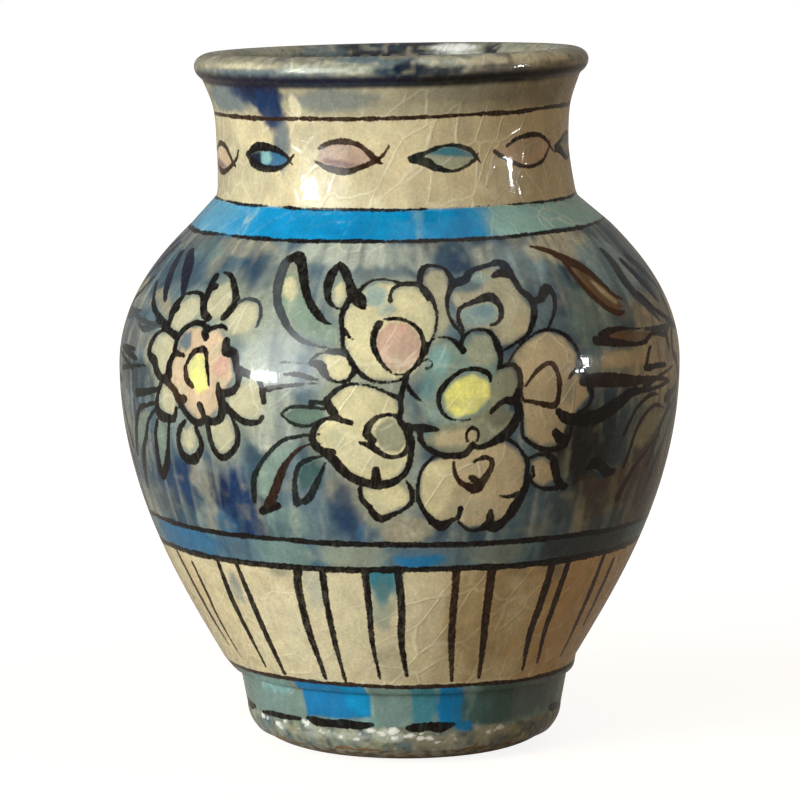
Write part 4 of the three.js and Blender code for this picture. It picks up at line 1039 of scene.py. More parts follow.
# Which fish swims where: strokes, fill, ink, turn in degrees and lift in mm
SHOAL = [
    (PINK_FISH, BLUSH, BROWN_INK, -58, -2.9),
    (BLUE_FISH, BLUE, INK, 0, 0),
    (PINK_FISH, PALE_ROSE, BROWN_INK, 0, 0),
    (TEAL_FISH, SAGE, GREEN_INK, 0, 0),
    (BROWN_FISH, BLUSH, BROWN_INK, 0, 0),
    (TEAL_FISH, SAGE, GREEN_INK, 60, 0.6),
    (PINK_FISH, PALE_ROSE, BROWN_INK, 121, -0.5),
    (BLUE_FISH, BLUE, INK, 181, 0.2),
    (BROWN_FISH, PALE_ROSE, BROWN_INK, 118, -0.8),
    (TEAL_FISH, SAGE, GREEN_INK, 182, -0.2),
    (PINK_FISH, PALE_ROSE, BROWN_INK, -118, -1.6),
    (BLUE_FISH, BLUE, INK, -59, -1.6),
]
# Stripes on the skirt as seen, then where the pairs behind stand: first, pitch, gap and how many
STRIPES = [
    (BROWN_INK, [(-65.6, 59.5, 1.6), (-64.4, 48.6, 1.8), (-63.8, 40, 1.6), (-62.5, 32, 0.8)]),
    (BROWN_INK, [(-59, 57.5, 1.2), (-58.5, 48.6, 1.4), (-59.2, 41, 1.2), (-58.4, 29, 0.7)]),
    (INK, [(-47.2, 60, 1.2), (-47.4, 48.6, 2), (-46.9, 38.6, 1.5), (-46.2, 27.6, 0.7)]),
    (INK, [(-41, 60.2, 1.4), (-40.3, 51.4, 1.8), (-39.8, 39.3, 1.9), (-39, 26.6, 1.2)]),
    (INK, [(-24, 60.2, 2.5), (-24.8, 54.3, 2.2), (-24.8, 41.4, 1.9), (-23.7, 26.2, 1.2)]),
    (INK, [(-17.9, 60.2, 1.8), (-18.1, 48.6, 1.7), (-17.9, 37.9, 1.4), (-17.2, 25.9, 0.9)]),
    (INK, [(-7.8, 60.2, 1.8), (-7.5, 48.6, 1.6), (-7.3, 37.9, 1.3), (-6, 27, 0.8)]),
    (INK, [(-0.3, 60.2, 2), (0.6, 48.6, 1.8), (0.6, 37.9, 1.7), (2.3, 28, 0.9)]),
    (BROWN_INK, [(13.1, 60.2, 2), (13.5, 48.6, 1.9), (14.4, 37.9, 1.7), (16.5, 26, 0.9)]),
    (BROWN_INK, [(21.6, 60.2, 2.2), (22.3, 48.6, 2.1), (23.5, 39.3, 1.9), (25.6, 26.4, 0.9)]),
    (BROWN_INK, [(37.8, 60.2, 2.2), (38.1, 49.3, 2.4), (38.5, 38.6, 1.9), (41.9, 27, 0.9)]),
    (BROWN_INK, [(42.8, 60.2, 1.9), (43.1, 49.3, 2.1), (44.1, 38.6, 1.7), (47.5, 28.6, 0.8)]),
    (BROWN_INK, [(56, 60.2, 1.6), (56.9, 50, 2.1), (58.1, 40, 1.7), (60, 29, 0.8)]),
    (BROWN_INK, [(62.3, 58, 1.5), (63.1, 48.6, 1.9), (64.4, 38, 1.1)]),
]
FIRST_PAIR, PAIR_PITCH, PAIR_GAP, BACK_PAIRS = 80.5, 21.4, 6.2, 10
# Broken line under the foot's band
FOOT_DASHES = [
    [(-63, 11.6, 0.8), (-55, 11.9, 1.7), (-47, 12, 1.6), (-40, 12.3, 1)],
    [(-36.6, 12.8, 1.4), (-33, 12.2, 2.5), (-28, 12, 1.9), (-22, 12.2, 2.6), (-16, 12, 2.2),
        (-11.4, 12.4, 1.2)],
    [(1.4, 11.6, 1.4), (5, 11.7, 2.8), (9, 12, 2.3), (13, 11.6, 2.8), (17.4, 12.4, 1.2)],
]
# Turns in degrees and lift in mm at which the longest dash comes again behind
DASH_TURNS, DASH_LIFT = (102, 152, 204, 256, 302), -0.2


def moved(shapes, turn=0, lift=0):
    """Shapes carried round the vase by a turn in degrees and up by a lift."""
    return [(tint, [(p[0] + turn, p[1] + lift, *p[2:]) for p in points]) for tint, points in shapes]


def mirrored(shapes, about):
    """Shapes turned over about an angle."""
    return [(tint, [(2 * about - p[0], p[1], *p[2:]) for p in points]) for tint, points in shapes]


def bolder(strokes, share, extra):
    """Strokes drawn with a fuller brush: each width times a share plus a fixed amount in mm."""
    return [
        (tint, [(turn, level, share * width + extra) for turn, level, width in points])
        for tint, points in strokes
    ]


def with_back(shapes, lift=0):
    """Shapes of the front, over the same shapes turned to the back."""
    return moved(shapes, BACK_TURN, lift) + shapes


def with_side_flowers(shapes):
    """Shapes of the front flower, over a copy at the right and one turned over at the left."""
    turned_over = mirrored(shapes, FLOWER_MIDDLE)
    return (moved(shapes, RIGHT_FLOWER, RIGHT_LIFT)
            + moved(turned_over, LEFT_FLOWER, LEFT_LIFT) + shapes)


def back_stripes():
    """Pairs of stripes behind: even pitch with seeded changes of place, length and width."""
    rng = np.random.default_rng(5)
    made = []
    for middle in FIRST_PAIR + PAIR_PITCH * np.arange(BACK_PAIRS):
        for side in (-0.5, 0.5):
            at = middle + side * PAIR_GAP + rng.uniform(-0.7, 0.7)
            lean = rng.uniform(-1.2, 1.2)
            made.append((INK, [
                (at, 60.2, 2),
                (at + 0.3 * lean, 48.6, rng.uniform(1.6, 2.2)),
                (at + 0.6 * lean, 38, 1.6),
                (at + lean, rng.uniform(26, 29), 0.9),
            ]))
    return made


def foot_dashes():
    """Dark dashes under the foot's band: those seen in front, and the longest again behind."""
    made = [(INK, points) for points in FOOT_DASHES]
    for turn in DASH_TURNS:
        made += moved([(GREEN_INK, FOOT_DASHES[1])], turn, DASH_LIFT)
    return made


def foot_chips_and_glints():
    """Pale chips on the foot, partly painted glints: seeded six-sided spots, up to 4 mm wide and 2
    mm high.
    """
    rng = np.random.default_rng(9)
    corners = np.radians(np.arange(0, 360, 60))
    made = []
    for middle, level, wide, high, count in CHIP_AND_GLINT_GROUPS:
        for at, up, size in rng.uniform((-1, -1, 0.7), (1, 1, 1.9), (count, 3)):
            reach = size * rng.uniform(0.4, 1, 6)
            turns = middle + wide * at + 1.3 * reach * np.cos(corners)
            levels = level + high * up + 0.6 * reach * np.sin(corners)
            made.append((WHITE, list(zip(turns.tolist(), levels.tolist()))))
    return made


fish_fills, fish_lines = [], []
for strokes, tint, ink, turn, lift in SHOAL:
    upper, lower = strokes
    body = [p[:2] for p in upper[:-1]] + [p[:2] for p in lower[-2::-1]]
    patches = [(tint, body)]
    if strokes is PINK_FISH:
        patches += [(MAUVE, PINK_FISH_SHADE)]
    if strokes is BLUE_FISH:
        patches += [(BLUE_INK, BLUE_FISH_HEAD), (PALE_TURQUOISE, BLUE_FISH_SIDE)]
    if strokes is TEAL_FISH:
        patches += [(BRIGHT_TEAL, TEAL_FISH_BACK)]
    fish_fills += moved(patches, turn, lift)
    fish_lines += moved([(ink, upper), (ink, lower)], turn, lift)

all_fills = (
    FOOT_FILLS + foot_chips_and_glints() + with_back(SPRAY_FILLS) + with_side_flowers(FLOWER_FILLS)
    + with_back(BOUQUET_FILLS, BACK_LIFT) + fish_fills
)
# Petals round which the field is paler
flower_edge = [shape for shape in FLOWER_FILLS if shape[0] is GREY_PETAL]
bouquet_edge = [
    (tint, points) for tint, points in BOUQUET_FILLS
    if tint is PETAL and min(p[0] for p in points) < 4
]
all_petals = with_side_flowers(flower_edge) + with_back(bouquet_edge, BACK_LIFT)
all_lines = (
    moved(SPRAY_LINES, BACK_TURN) + bolder(SPRAY_LINES, 0.9, 0.1)
    + with_side_flowers(bolder(FLOWER_LINES, 1, 0.25))
    + bolder(with_back(BOUQUET_LINES, BACK_LIFT), 1, 0.05) + bolder(fish_lines, 1, 0.1)
    + bolder(STRIPES + back_stripes(), 1, 0.35) + bolder(foot_dashes(), 0.95, 0.35)
)


def flat(angle, height, about):
    """Lays the outside flat near an angle: arc from it at that height, and the outline's length."""
    return radius_at(height) * wrapped(angle - about), length_at(height)


def near(angle, height, points, margin):
    """Which grid points lie in the box of angles and heights round some points, and its middle."""
    turns = [p[0] for p in points]
    about = np.radians((min(turns) + max(turns)) / 2)
    spread = np.radians((max(turns) - min(turns)) / 2) + margin / MARGIN_RADIUS
    levels = [p[1] for p in points]
    inside = np.abs(wrapped(angle - about)) < spread
    return about, inside & (height > min(levels) - margin) & (height < max(levels) + margin)


def laid_flat(angle, height, path, about):
    """Grid points as columns, and the ends of a path's sides, laid flat near an angle."""
    x, y = flat(angle, height, about)
    px, py = flat(np.radians(path[:, 0]), path[:, 1], about)
    return x[:, None], y[:, None], px[:-1], py[:-1], px[1:], py[1:]


def side_gaps(x, y, ax, ay, bx, by):
    """Each point's share along each side, held between its ends, and its distance to that place."""
    length = np.maximum((bx - ax) ** 2 + (by - ay) ** 2, TINY)
    share = np.clip(((x - ax) * (bx - ax) + (y - ay) * (by - ay)) / length, 0, 1)
    return share, np.hypot(x - ax - share * (bx - ax), y - ay - share * (by - ay))


def stroke_reach(angle, height, points):
    """Distance in mm to a brush stroke's edge, negative inside.

    It is the least distance to the stroke's path less half the brush's width there.
    """
    about, close = near(angle, height, points, STROKE_MARGIN)
    ends = np.array([points[0], points[-1]], float)
    path = np.concatenate([ends[:1], through(points, 6 * len(points)), ends[1:]])
    share, gap = side_gaps(*laid_flat(angle[close], height[close], path, about))
    width = path[:-1, 2] * (1 - share) + path[1:, 2] * share
    return close, (gap - np.maximum(BRUSH * width - LIFTED, FINEST)).min(axis=1)


def fill_reach(angle, height, points):
    """Distance in mm inside a filled shape's edge, negative outside.

    It is the least distance to the shape's sides, signed by how many of them a level line crosses.
    """
    about, close = near(angle, height, points, FILL_MARGIN)
    edge = np.array(list(points) + [points[0]], float)
    x, y, ax, ay, bx, by = laid_flat(angle[close], height[close], edge, about)
    gap = side_gaps(x, y, ax, ay, bx, by)[1].min(axis=1)
    spans = (ay > y) != (by > y)
    rise = np.where(np.abs(by - ay) < TINY, TINY, by - ay)
    crossing = x < (bx - ax) * (y - ay) / rise + ax
    return close, np.where((spans & crossing).sum(axis=1) % 2 == 1, gap, -gap)


def ring_reach(angle, height, ring, width, seed, dry):
    """Distance to a line round the vase: height off it less half a width that noise varies."""
    level = np.full_like(height, ring[0])
    wobble = clouds(angle, level, 26, 50, seed)
    flutter = clouds(angle, level, 110, 50, seed + 1)
    middle = ring_level(ring, angle) + 0.5 * (wobble - 0.5)
    half = width * (0.5 + 0.22 * (flutter - 0.5)) - dry * eased(wobble, 0.62, 0.9)
    return np.abs(height - middle) - half


# Rings drawn round the vase: line, width, seed, dryness and colour
RINGS = [
    (FISH_LINE, 1.3, 61, 0.1, BROWN_INK),
    (NECK_LINE, 0.8, 63, 0.4, INK),
    (SHOULDER_LINE, 1.0, 65, 0.2, INK),
    (FIELD_LINE, 1.6, 67, 0.3, INK),
    (BAND_LINE, 1.9, 69, 0.1, INK),
    (FOOT_LINE, 1.3, 71, 0.1, BROWN_INK),
]


def painted(angle, height):
    """Pigment colour, ink colour and distance to the ink for points on the outside."""
    colour = ground(angle, height)
    tint_cloud = brushed(angle, height, 83)
    for _, points in all_petals:
        close, depth = fill_reach(angle, height, points)
        halo = 0.5 * eased(depth + 5 * (tint_cloud[close] - 0.5), -6, -0.5)
        colour[close] = mixed(colour[close], SAGE, halo)
    blotch = clouds(angle, height, 74, 4.2, 85)
    for tint, points in all_fills:
        close, depth = fill_reach(angle, height, points)
        clean = any(tint is bright for bright in (TURQUOISE, DEEP_TURQUOISE, WHITE))
        greyed = 0 if clean else 0.3
        crisp = 0.4 if tint is WHITE else 1.6
        shade = tint * (0.82 + 0.36 * tint_cloud[close])[:, None]
        shade = mixed(shade, SAGE, greyed * eased(blotch[close], 0.55, 0.9))
        shade = shade * (0.88 + 0.12 * eased(depth, 0.2, 1.6))[:, None]
        cover = depth + crisp * (tint_cloud[close] - 0.5)
        cover = eased(cover, -0.3 * crisp, 0.44 * crisp)
        colour[close] = mixed(colour[close], shade, 0.95 * cover)
    colour = laid(colour, angle, height, PETAL_WASHES, 87, turns=(BACK_TURN, 0))
    ink = np.full(angle.shape, NO_INK)
    ink_colour = plain(angle, INK).copy()

    def drawn(close, reach, tint):
        """Keeps the nearest stroke's distance and colour."""
        nearer = reach < ink[close]
        spots = tuple(axis[nearer] for axis in np.nonzero(close))
        ink[spots] = reach[nearer]
        ink_colour[spots] = tint

    for tint, points in all_lines:
        close, reach = stroke_reach(angle, height, points)
        drawn(close, reach, tint)
    everywhere = np.ones(angle.shape, bool)
    for ring, width, seed, dry, tint in RINGS:
        drawn(everywhere, ring_reach(angle, height, ring, width, seed, dry).ravel(), tint)
    return colour, ink_colour, ink


def bare_patches(angle, height):
    """How far the glaze is worn to the clay: fully at the foot's edge, raggedly just above."""
    ragged = brushed(angle, height, 91) - 0.5
    return 1 - eased(height + 4 * ragged, 3.6, 5.4)


# Meshes

def in_scene(name, data):
    """An object with its data, linked to the scene."""
    made = bpy.data.objects.new(name, data)
    bpy.context.scene.collection.objects.link(made)
    return made


def closed_mesh(name, rings, material, stands_for):
    """A closed tube: rings and columns both join end to end, one quad for each grid cell."""
    count, columns = rings.shape[:2]
    row, column = np.meshgrid(np.arange(count), np.arange(columns), indexing="ij")
    next_row, next_column = (row + 1) % count, (column + 1) % columns
    corners = ((row, column), (row, next_column), (next_row, next_column), (next_row, column))
    quads = np.stack([r * columns + c for r, c in corners], -1).reshape(-1, 4)
    mesh = bpy.data.meshes.new(name)
    mesh.vertices.add(count * columns)
    mesh.vertices.foreach_set("co", (rings * MM).astype(np.float32).ravel())
    mesh.loops.add(quads.size)
    mesh.loops.foreach_set("vertex_index", quads.ravel().astype(np.int32))
    mesh.polygons.add(len(quads))
    mesh.polygons.foreach_set("loop_start", np.arange(0, quads.size, 4, dtype=np.int32))
    mesh.polygons.foreach_set("use_smooth", np.ones(len(quads), bool))
    mesh.update(calc_edges=True)
    mesh.validate()
    piece = in_scene(name, mesh)
    mesh.materials.append(material)
    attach(piece, "root")
    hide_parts(*stands_for)
    return piece


def baked_layout(piece, shown, count, columns, sectors):
    """Own layout for baking: the shown face's sectors stack up, and the rest is a strip below."""
    row, column = np.meshgrid(np.arange(count), np.arange(columns), indexing="ij")
    sector = column * sectors // columns
    first = -(-sector * columns // sectors)
    wide = -(-columns // sectors)
    u = np.stack([column, column + 1, column + 1, column], -1) - first[..., None]
    u = SIDE_GAP + (1 - 2 * SIDE_GAP) * u / wide
    v = np.stack([row, row, row + 1, row + 1], -1)
    on_face = row < shown - 1
    face_v = SECTOR_GAP + (1 - 2 * SECTOR_GAP) * v / (shown - 1)
    face_v = FACE_START + (1 - FACE_START) * (sector[..., None] + face_v) / sectors
    back_v = BACK_STRIP * (v - shown + 1) / (count - shown + 1)
    v = np.where(on_face[..., None], face_v, back_v)
    layer = piece.data.uv_layers.new(name="OFBake")
    layer.uv.foreach_set("vector", np.stack([u, v], -1).astype(np.float32).ravel())


def set_colours(mesh, name, front, back, hidden):
    """Stores a colour for each vertex: the front's own, then one for those hidden behind."""
    values = np.concatenate([front.reshape(-1, 3), np.tile(back, (hidden, 1))])
    values = np.concatenate([values, np.ones((len(values), 1))], -1)
    layer = mesh.attributes.new(name, "FLOAT_COLOR", "POINT")
    layer.data.foreach_set("color", values.astype(np.float32).ravel())


def set_values(mesh, name, front, back, hidden):
    """Stores a number for each vertex: the front's own, then one for those hidden behind."""
    values = np.concatenate([front.ravel(), np.full(hidden, back)])
    layer = mesh.attributes.new(name, "FLOAT", "POINT")
    layer.data.foreach_set("value", values.astype(np.float32))


def facing(points):
    """Outward direction of a grid of points: the cross product of its steps round and up."""
    around = np.roll(points, -1, axis=1) - np.roll(points, 1, axis=1)
    upward = np.gradient(points, axis=0)
    out = np.cross(around, upward)
    return out / np.linalg.norm(out, axis=-1)[..., None]


def carried_round(line, columns, start=-np.pi):
    """A line carried round the axis, from a start to its opposite: angles, heights and points."""
    turn = np.linspace(start, -start, columns, endpoint=False)
    angle, radius = np.meshgrid(turn, line[:, 0])
    height = np.repeat(line[:, 1][:, None], columns, axis=1)
    return angle, height, placed(angle, radius, height)


def glazed_piece(name, line, material, columns, step, sectors=3, coarser=9):
    """A closed skin of glaze: an outline carried round, with a coarser face one coat inside."""
    line = spaced(line, step)
    angle, height, face = carried_round(line, columns)
    out = facing(face)
    rows = max(len(line) // coarser, 4)
    pick = np.unique(np.linspace(0, len(line) - 1, rows).round().astype(int))[::-1]
    back = face[pick] - COAT * out[pick]
    rings = np.concatenate([face, back])
    piece = closed_mesh(name, rings, material, ["outer_glaze"])
    colour, ink_colour, ink = painted(angle, height)
    hidden = len(pick) * columns
    mesh = piece.data
    set_colours(mesh, "paint", colour, CREAM, hidden)
    set_colours(mesh, "ink_colour", ink_colour, INK, hidden)
    set_values(mesh, "ink", ink, NO_INK, hidden)
    set_values(mesh, "bare", bare_patches(angle, height), 0.0, hidden)
    baked_layout(piece, len(line), len(rings), columns, sectors)
    directions = np.concatenate([out, -out[pick]]).reshape(-1, 3)
    mesh.normals_split_custom_set_from_vertices(directions.tolist())


# Materials

def feed(tree, node, inputs):
    """Gives a node its inputs by name or number: each is a value or the socket to link."""
    for key, value in inputs.items():
        if isinstance(value, bpy.types.NodeSocket):
            tree.links.new(value, node.inputs[key])
        else:
            node.inputs[key].default_value = value


def add(tree, kind, inputs=None, **settings):
    """A node with its settings and inputs."""
    made = tree.nodes.new(kind)
    for key, value in settings.items():
        setattr(made, key, value)
    feed(tree, made, inputs or {})
    return made


def blend(tree, amount, first, second, mode="MIX"):
    """Colour mix of two sockets or colours by an amount."""
    made = add(tree, "ShaderNodeMix", {0: amount}, data_type="RGBA", blend_type=mode)
    for number, colour in ((6, first), (7, second)):
        linked = isinstance(colour, bpy.types.NodeSocket)
        feed(tree, made, {number: colour if linked else (*colour, 1)})
    return made.outputs[2]


def figure(tree, operation, first, second=0.0, third=0.0):
    """Arithmetic on sockets or numbers."""
    inputs = {0: first, 1: second, 2: third}
    return add(tree, "ShaderNodeMath", inputs, operation=operation).outputs[0]


def times(tree, first, second):
    """Product of two sockets or numbers."""
    return figure(tree, "MULTIPLY", first, second)


def added(tree, base, value, share):
    """A base plus a share of a value."""
    return figure(tree, "MULTIPLY_ADD", value, share, base)


def vector(tree, operation, inputs, output=0):
    """Arithmetic on vectors."""
    return add(tree, "ShaderNodeVectorMath", inputs, operation=operation).outputs[output]


def ranged(tree, value, low, high, to_low=0.0, to_high=1.0):
    """A value mapped from one range to another and held at the ends."""
    inputs = {"Value": value, "From Min": low, "From Max": high}
    inputs.update({"To Min": to_low, "To Max": to_high})
    return add(tree, "ShaderNodeMapRange", inputs).outputs[0]


def grain(tree, place, size, detail=2.0, roughness=0.5):
    """Noise with features of a size in mm."""
    inputs = {"Vector": place, "Scale": 1 / MM / size, "Detail": detail, "Roughness": roughness}
    return add(tree, "ShaderNodeTexNoise", inputs).outputs["Fac"]


def stretched(tree, place, scale, turn=(0, 0, 0)):
    """Object coordinates scaled along the axes and turned."""
    inputs = {"Vector": place, "Scale": scale, "Rotation": turn}
    return add(tree, "ShaderNodeMapping", inputs).outputs[0]


def crazing(tree, place, size, width, bend):
    """Crackle lines: 1 on the walls between random cells bent by noise, all sizes in mm."""
    noise = {"Vector": place, "Scale": 1 / MM / (0.6 * size), "Detail": 2.0}
    shift = add(tree, "ShaderNodeTexNoise", noise).outputs["Color"]
    shift = vector(tree, "SUBTRACT", {0: shift, 1: (0.5, 0.5, 0.5)})
    shift = vector(tree, "SCALE", {0: shift, "Scale": bend * MM})
    cells = {"Vector": vector(tree, "ADD", {0: place, 1: shift}), "Scale": 1 / MM / size}
    cells = add(tree, "ShaderNodeTexVoronoi", cells, feature="DISTANCE_TO_EDGE")
    wall = cells.outputs["Distance"]
    return ranged(tree, wall, 0.2 * width / size, 0.6 * width / size, 1.0, 0.0)


def stored(tree, name, output="Color"):
    """What is stored on the mesh's points under a name."""
    return add(tree, "ShaderNodeAttribute", attribute_name=name).outputs[output]


def bumped(tree, strength, depth, height):
    """Direction of a surface with a relief of a depth in mm."""
    inputs = {"Strength": strength, "Distance": depth * MM, "Height": height}
    return add(tree, "ShaderNodeBump", inputs).outputs[0]


def emptied(holder):
    """The emptied node tree of a material or a world."""
    holder.use_nodes = True
    holder.node_tree.nodes.clear()
    return holder.node_tree


def new_material(name):
    """A material, its node tree, its shader linked to the output, and the Object coordinates."""
    made = bpy.data.materials.new(name)
    tree = emptied(made)
    shader = add(tree, "ShaderNodeBsdfPrincipled")
    add(tree, "ShaderNodeOutputMaterial", {0: shader.outputs[0]})
    return made, tree, shader, add(tree, "ShaderNodeTexCoord").outputs["Object"]


def clay_colour(tree, place):
    """Fired earthenware: brown body with paler and darker grit and rusty stains, and the grit."""
    grit = grain(tree, place, 0.9, 4.0, 0.7)
    stain = grain(tree, place, 9, 3.0)
    body = blend(tree, ranged(tree, grit, 0.3, 0.7), CLAY_BROWN, CLAY_PALE)
    return blend(tree, ranged(tree, stain, 0.45, 0.7, 0, 0.7), body, RUST), grit


def painted_glaze():
    """Brushed pigments under a glossy crazed glaze, worn to the clay where the foot rubs."""
    made, tree, shader, place = new_material("painted_crackle_glaze")
    colour = stored(tree, "paint")
    fine = grain(tree, place, 0.8, 3.0, 0.6)
    slanting = stretched(tree, place, (1, 1, 0.22), (0.25, 0.35, 0))
    bristle = grain(tree, slanting, 1.3, 3.0, 0.6)
    mottle = grain(tree, place, 6, 3.0)
    for noise, low, high, dark, bright in [
        (bristle, 0.3, 0.7, (0.93, 0.93, 0.94), (1.06, 1.06, 1.05)),
        (mottle, 0.3, 0.7, (0.86, 0.86, 0.86), (1.1, 1.1, 1.09)),
        (fine, 0.25, 0.75, (0.84, 0.84, 0.84), (1.12, 1.12, 1.12)),
    ]:
        tone = blend(tree, ranged(tree, noise, low, high), dark, bright)
        colour = blend(tree, 1.0, colour, tone, "MULTIPLY")

    # Ink, ragged at its edges, dry in streaks and pooled in clouds
    speckle = figure(tree, "SUBTRACT", fine, 0.5)
    swell = figure(tree, "SUBTRACT", grain(tree, place, 3.2, 2.0), 0.5)
    ragged = added(tree, stored(tree, "ink", "Fac"), speckle, 0.6)
    ragged = added(tree, ragged, swell, 0.7)
    cover = ranged(tree, ragged, 0.14, -0.12)
    dry = ranged(tree, bristle, 0.25, 0.55, 0.88, 1.0)
    pool = blend(tree, mottle, (0.5, 0.5, 0.5), (1.5, 1.4, 1.3))
    pooled = blend(tree, 1.0, stored(tree, "ink_colour"), pool, "MULTIPLY")
    colour = blend(tree, times(tree, cover, dry), colour, pooled)

    # Crackle: long slanted cells here and there with small ones between, seen on the pale pigments
    slanted = stretched(tree, stretched(tree, place, (1, 1, 1), (0, -0.7, 0)), (1, 1, 0.42))
    here = ranged(tree, grain(tree, place, 26, 2.0), 0.4, 0.58, 0.3, 1.0)
    long_lines = times(tree, crazing(tree, slanted, 9, 0.62, 2.6), here)
    small_lines = times(tree, crazing(tree, place, 4.6, 0.22, 2), 0.25)
    lines = figure(tree, "MAXIMUM", long_lines, small_lines)
    lightness = add(tree, "ShaderNodeRGBToBW", {0: colour}).outputs[0]
    lines = times(tree, lines, ranged(tree, lightness, 0.22, 0.42, 0.04, 1.0))
    pale = blend(tree, 0.75, colour, CRACK_PALE)
    colour = blend(tree, times(tree, lines, 0.42), colour, pale)

    # Iron specks
    pits = add(tree, "ShaderNodeTexVoronoi", {"Vector": place, "Scale": 300.0}, feature="F1")
    specks = ranged(tree, pits.outputs["Distance"], 0.05, 0.1, 1.0, 0.0)
    specks = times(tree, specks, ranged(tree, mottle, 0.5, 0.62))
    colour = blend(tree, times(tree, specks, 0.6), colour, SPECK_BROWN)

    # Clay where the glaze is worn through
    clay, grit = clay_colour(tree, place)
    worn = added(tree, stored(tree, "bare", "Fac"), speckle, 0.8)
    rubbed = ranged(tree, worn, 0.42, 0.58)
    colour = blend(tree, rubbed, colour, clay)

    gloss = ranged(tree, grain(tree, place, 2.2, 3.0), 0.3, 0.7, 0.2, 0.34)
    relief = added(tree, times(tree, grain(tree, place, 3.4, 2.0), 0.8), bristle, 0.35)
    relief = added(tree, relief, lines, 1.0)
    relief = added(tree, relief, times(tree, rubbed, grit), 0.8)
    ripple = added(tree, grain(tree, place, 4.4, 2.0), lines, 0.6)
    feed(tree, shader, {
        "Base Color": colour,
        "Roughness": figure(tree, "MAXIMUM", gloss, times(tree, rubbed, 0.8)),
        "Normal": bumped(tree, 0.3, 0.35, relief),
        "Coat Normal": bumped(tree, 0.22, 0.35, ripple),
        "Specular IOR Level": 0.06,
        "Coat Weight": 0.4,
        "Coat Roughness": 0.04,
    })
    return made


def liner_glaze():
    """Plain cream glaze of the inside, crazed, greyer and darker further down."""
    made, tree, shader, place = new_material("liner_glaze")
    level = add(tree, "ShaderNodeSeparateXYZ", {0: place}).outputs["Z"]
    mottle = grain(tree, place, 12, 4.0, 0.6)
    fine = grain(tree, place, 1.2, 3.0)
    colour = blend(tree, ranged(tree, mottle, 0.3, 0.7), LINER_GREY, LINER_CREAM)
    down = ranged(tree, added(tree, level, mottle, 0.03), 0.05, 0.16, 0.75, 0.0)
    colour = blend(tree, down, colour, LINER_DEEP_TONE)
    rim = ranged(tree, added(tree, level, mottle, 0.01), 0.192, 0.2)
    colour = blend(tree, rim, colour, stored(tree, "paint"))
    tone = blend(tree, fine, (0.86, 0.86, 0.86), (1.1, 1.1, 1.1))
    colour = blend(tree, 1.0, colour, tone, "MULTIPLY")
    lines = crazing(tree, place, 8, 0.3, 4)
    colour = blend(tree, times(tree, lines, 0.35), colour, LINER_CRACK)
    feed(tree, shader, {
        "Base Color": colour,
        "Roughness": ranged(tree, fine, 0.3, 0.7, 0.14, 0.3),
        "Normal": bumped(tree, 0.3, 0.3, mottle),
        "Specular IOR Level": 0.28,
    })
    return made


def bare_clay(name, tint=(1, 1, 1), smear=None):
    """Unglazed clay with grit, stains and relief, and a smear of wash from a height in mm up."""
    made, tree, shader, place = new_material(name)
    clay, grit = clay_colour(tree, place)
    colour = blend(tree, 1.0, clay, tint, "MULTIPLY")
    if smear:
        level = add(tree, "ShaderNodeSeparateXYZ", {0: place}).outputs["Z"]
        uneven = added(tree, level, grain(tree, place, 7, 4.0, 0.65), 5 * MM)
        amount = ranged(tree, uneven, smear * MM + 2.2 * MM, smear * MM + 3 * MM)
        blotch = ranged(tree, grain(tree, place, 3, 3.0), 0.4, 0.6)
        colour = blend(tree, amount, colour, blend(tree, blotch, SMEAR_DARK, SMEAR_PALE))
    feed(tree, shader, {
        "Base Color": colour,
        "Roughness": 0.85,
        "Normal": bumped(tree, 0.6, 0.3, grit),
    })
    return made


# Pieces

glaze = painted_glaze()
liner = liner_glaze()
clay = bare_clay("bare_clay")
foot_clay = bare_clay("foot_clay", smear=1.4)
slip = bare_clay("fired_slip", tint=(1.25, 1.3, 1.3))

edge_start = np.argmax(foot_edge[:, 1] >= GLAZE_END)
foot_line = np.concatenate([foot_edge[edge_start:], heel_round])
split = np.argmin(np.abs(low_side[:, 1] - FIELD_FOOT))
neck_line = np.concatenate([neck_side, lip_under[1:], lip_over[1:]])
glazed_piece("glaze_of_foot", foot_line, glaze, 560, 0.45, coarser=2)
glazed_piece("glaze_of_skirt", low_side[:split + 1], glaze, 780, 0.55)
glazed_piece("glaze_of_belly", low_side[split:], glaze, 900, 0.52)
glazed_piece("glaze_of_shoulder", high_side, glaze, 860, 0.6)
glazed_piece("glaze_of_neck_and_lip", neck_line, glaze, 640, 0.5, sectors=4, coarser=3)


def inside_line():
    """Outline of the inside from the floor's middle to the crest.

    It is the outside less the wall and its coats, rounded where the floor meets the wall.
    """
    side = spaced(np.concatenate([low_side, high_side[1:]]), 1)
    body = inward(side, BODY_WALL + CLAY_GAP + INNER_GAP)
    neck = inward(spaced(neck_side, 1), NECK_WALL + CLAY_GAP + INNER_GAP)
    body = body[body[:, 0] > neck[0, 0]]
    wall = np.concatenate([body, neck[neck[:, 1] > body[-1, 1]]])
    turn = FLOOR + FLOOR_ROUND
    upper = wall[wall[:, 1] > turn]
    corner = np.interp(FLOOR + CORNER_LEVEL, wall[:, 1], wall[:, 0])
    flat_end = corner - FLOOR_EDGE
    floor_edge = bezier([
        (flat_end, FLOOR),
        (corner - 4, FLOOR),
        (upper[0, 0] - 1, turn - 6),
        tuple(upper[0]),
    ], 40)
    throat = upper[upper[:, 1] < LIP_SEAT]
    middle = LIP_CREST - 0.1
    rise = CREST - LIP_WIDEST - 0.05
    lip_in = arc(middle, LIP_WIDEST, middle - throat[-1, 0], rise, 180, 90, 60)
    floor = np.stack([np.linspace(0.6, flat_end, 30), np.full(30, FLOOR)], -1)
    return np.concatenate([floor, floor_edge[1:], throat[1:], lip_in])


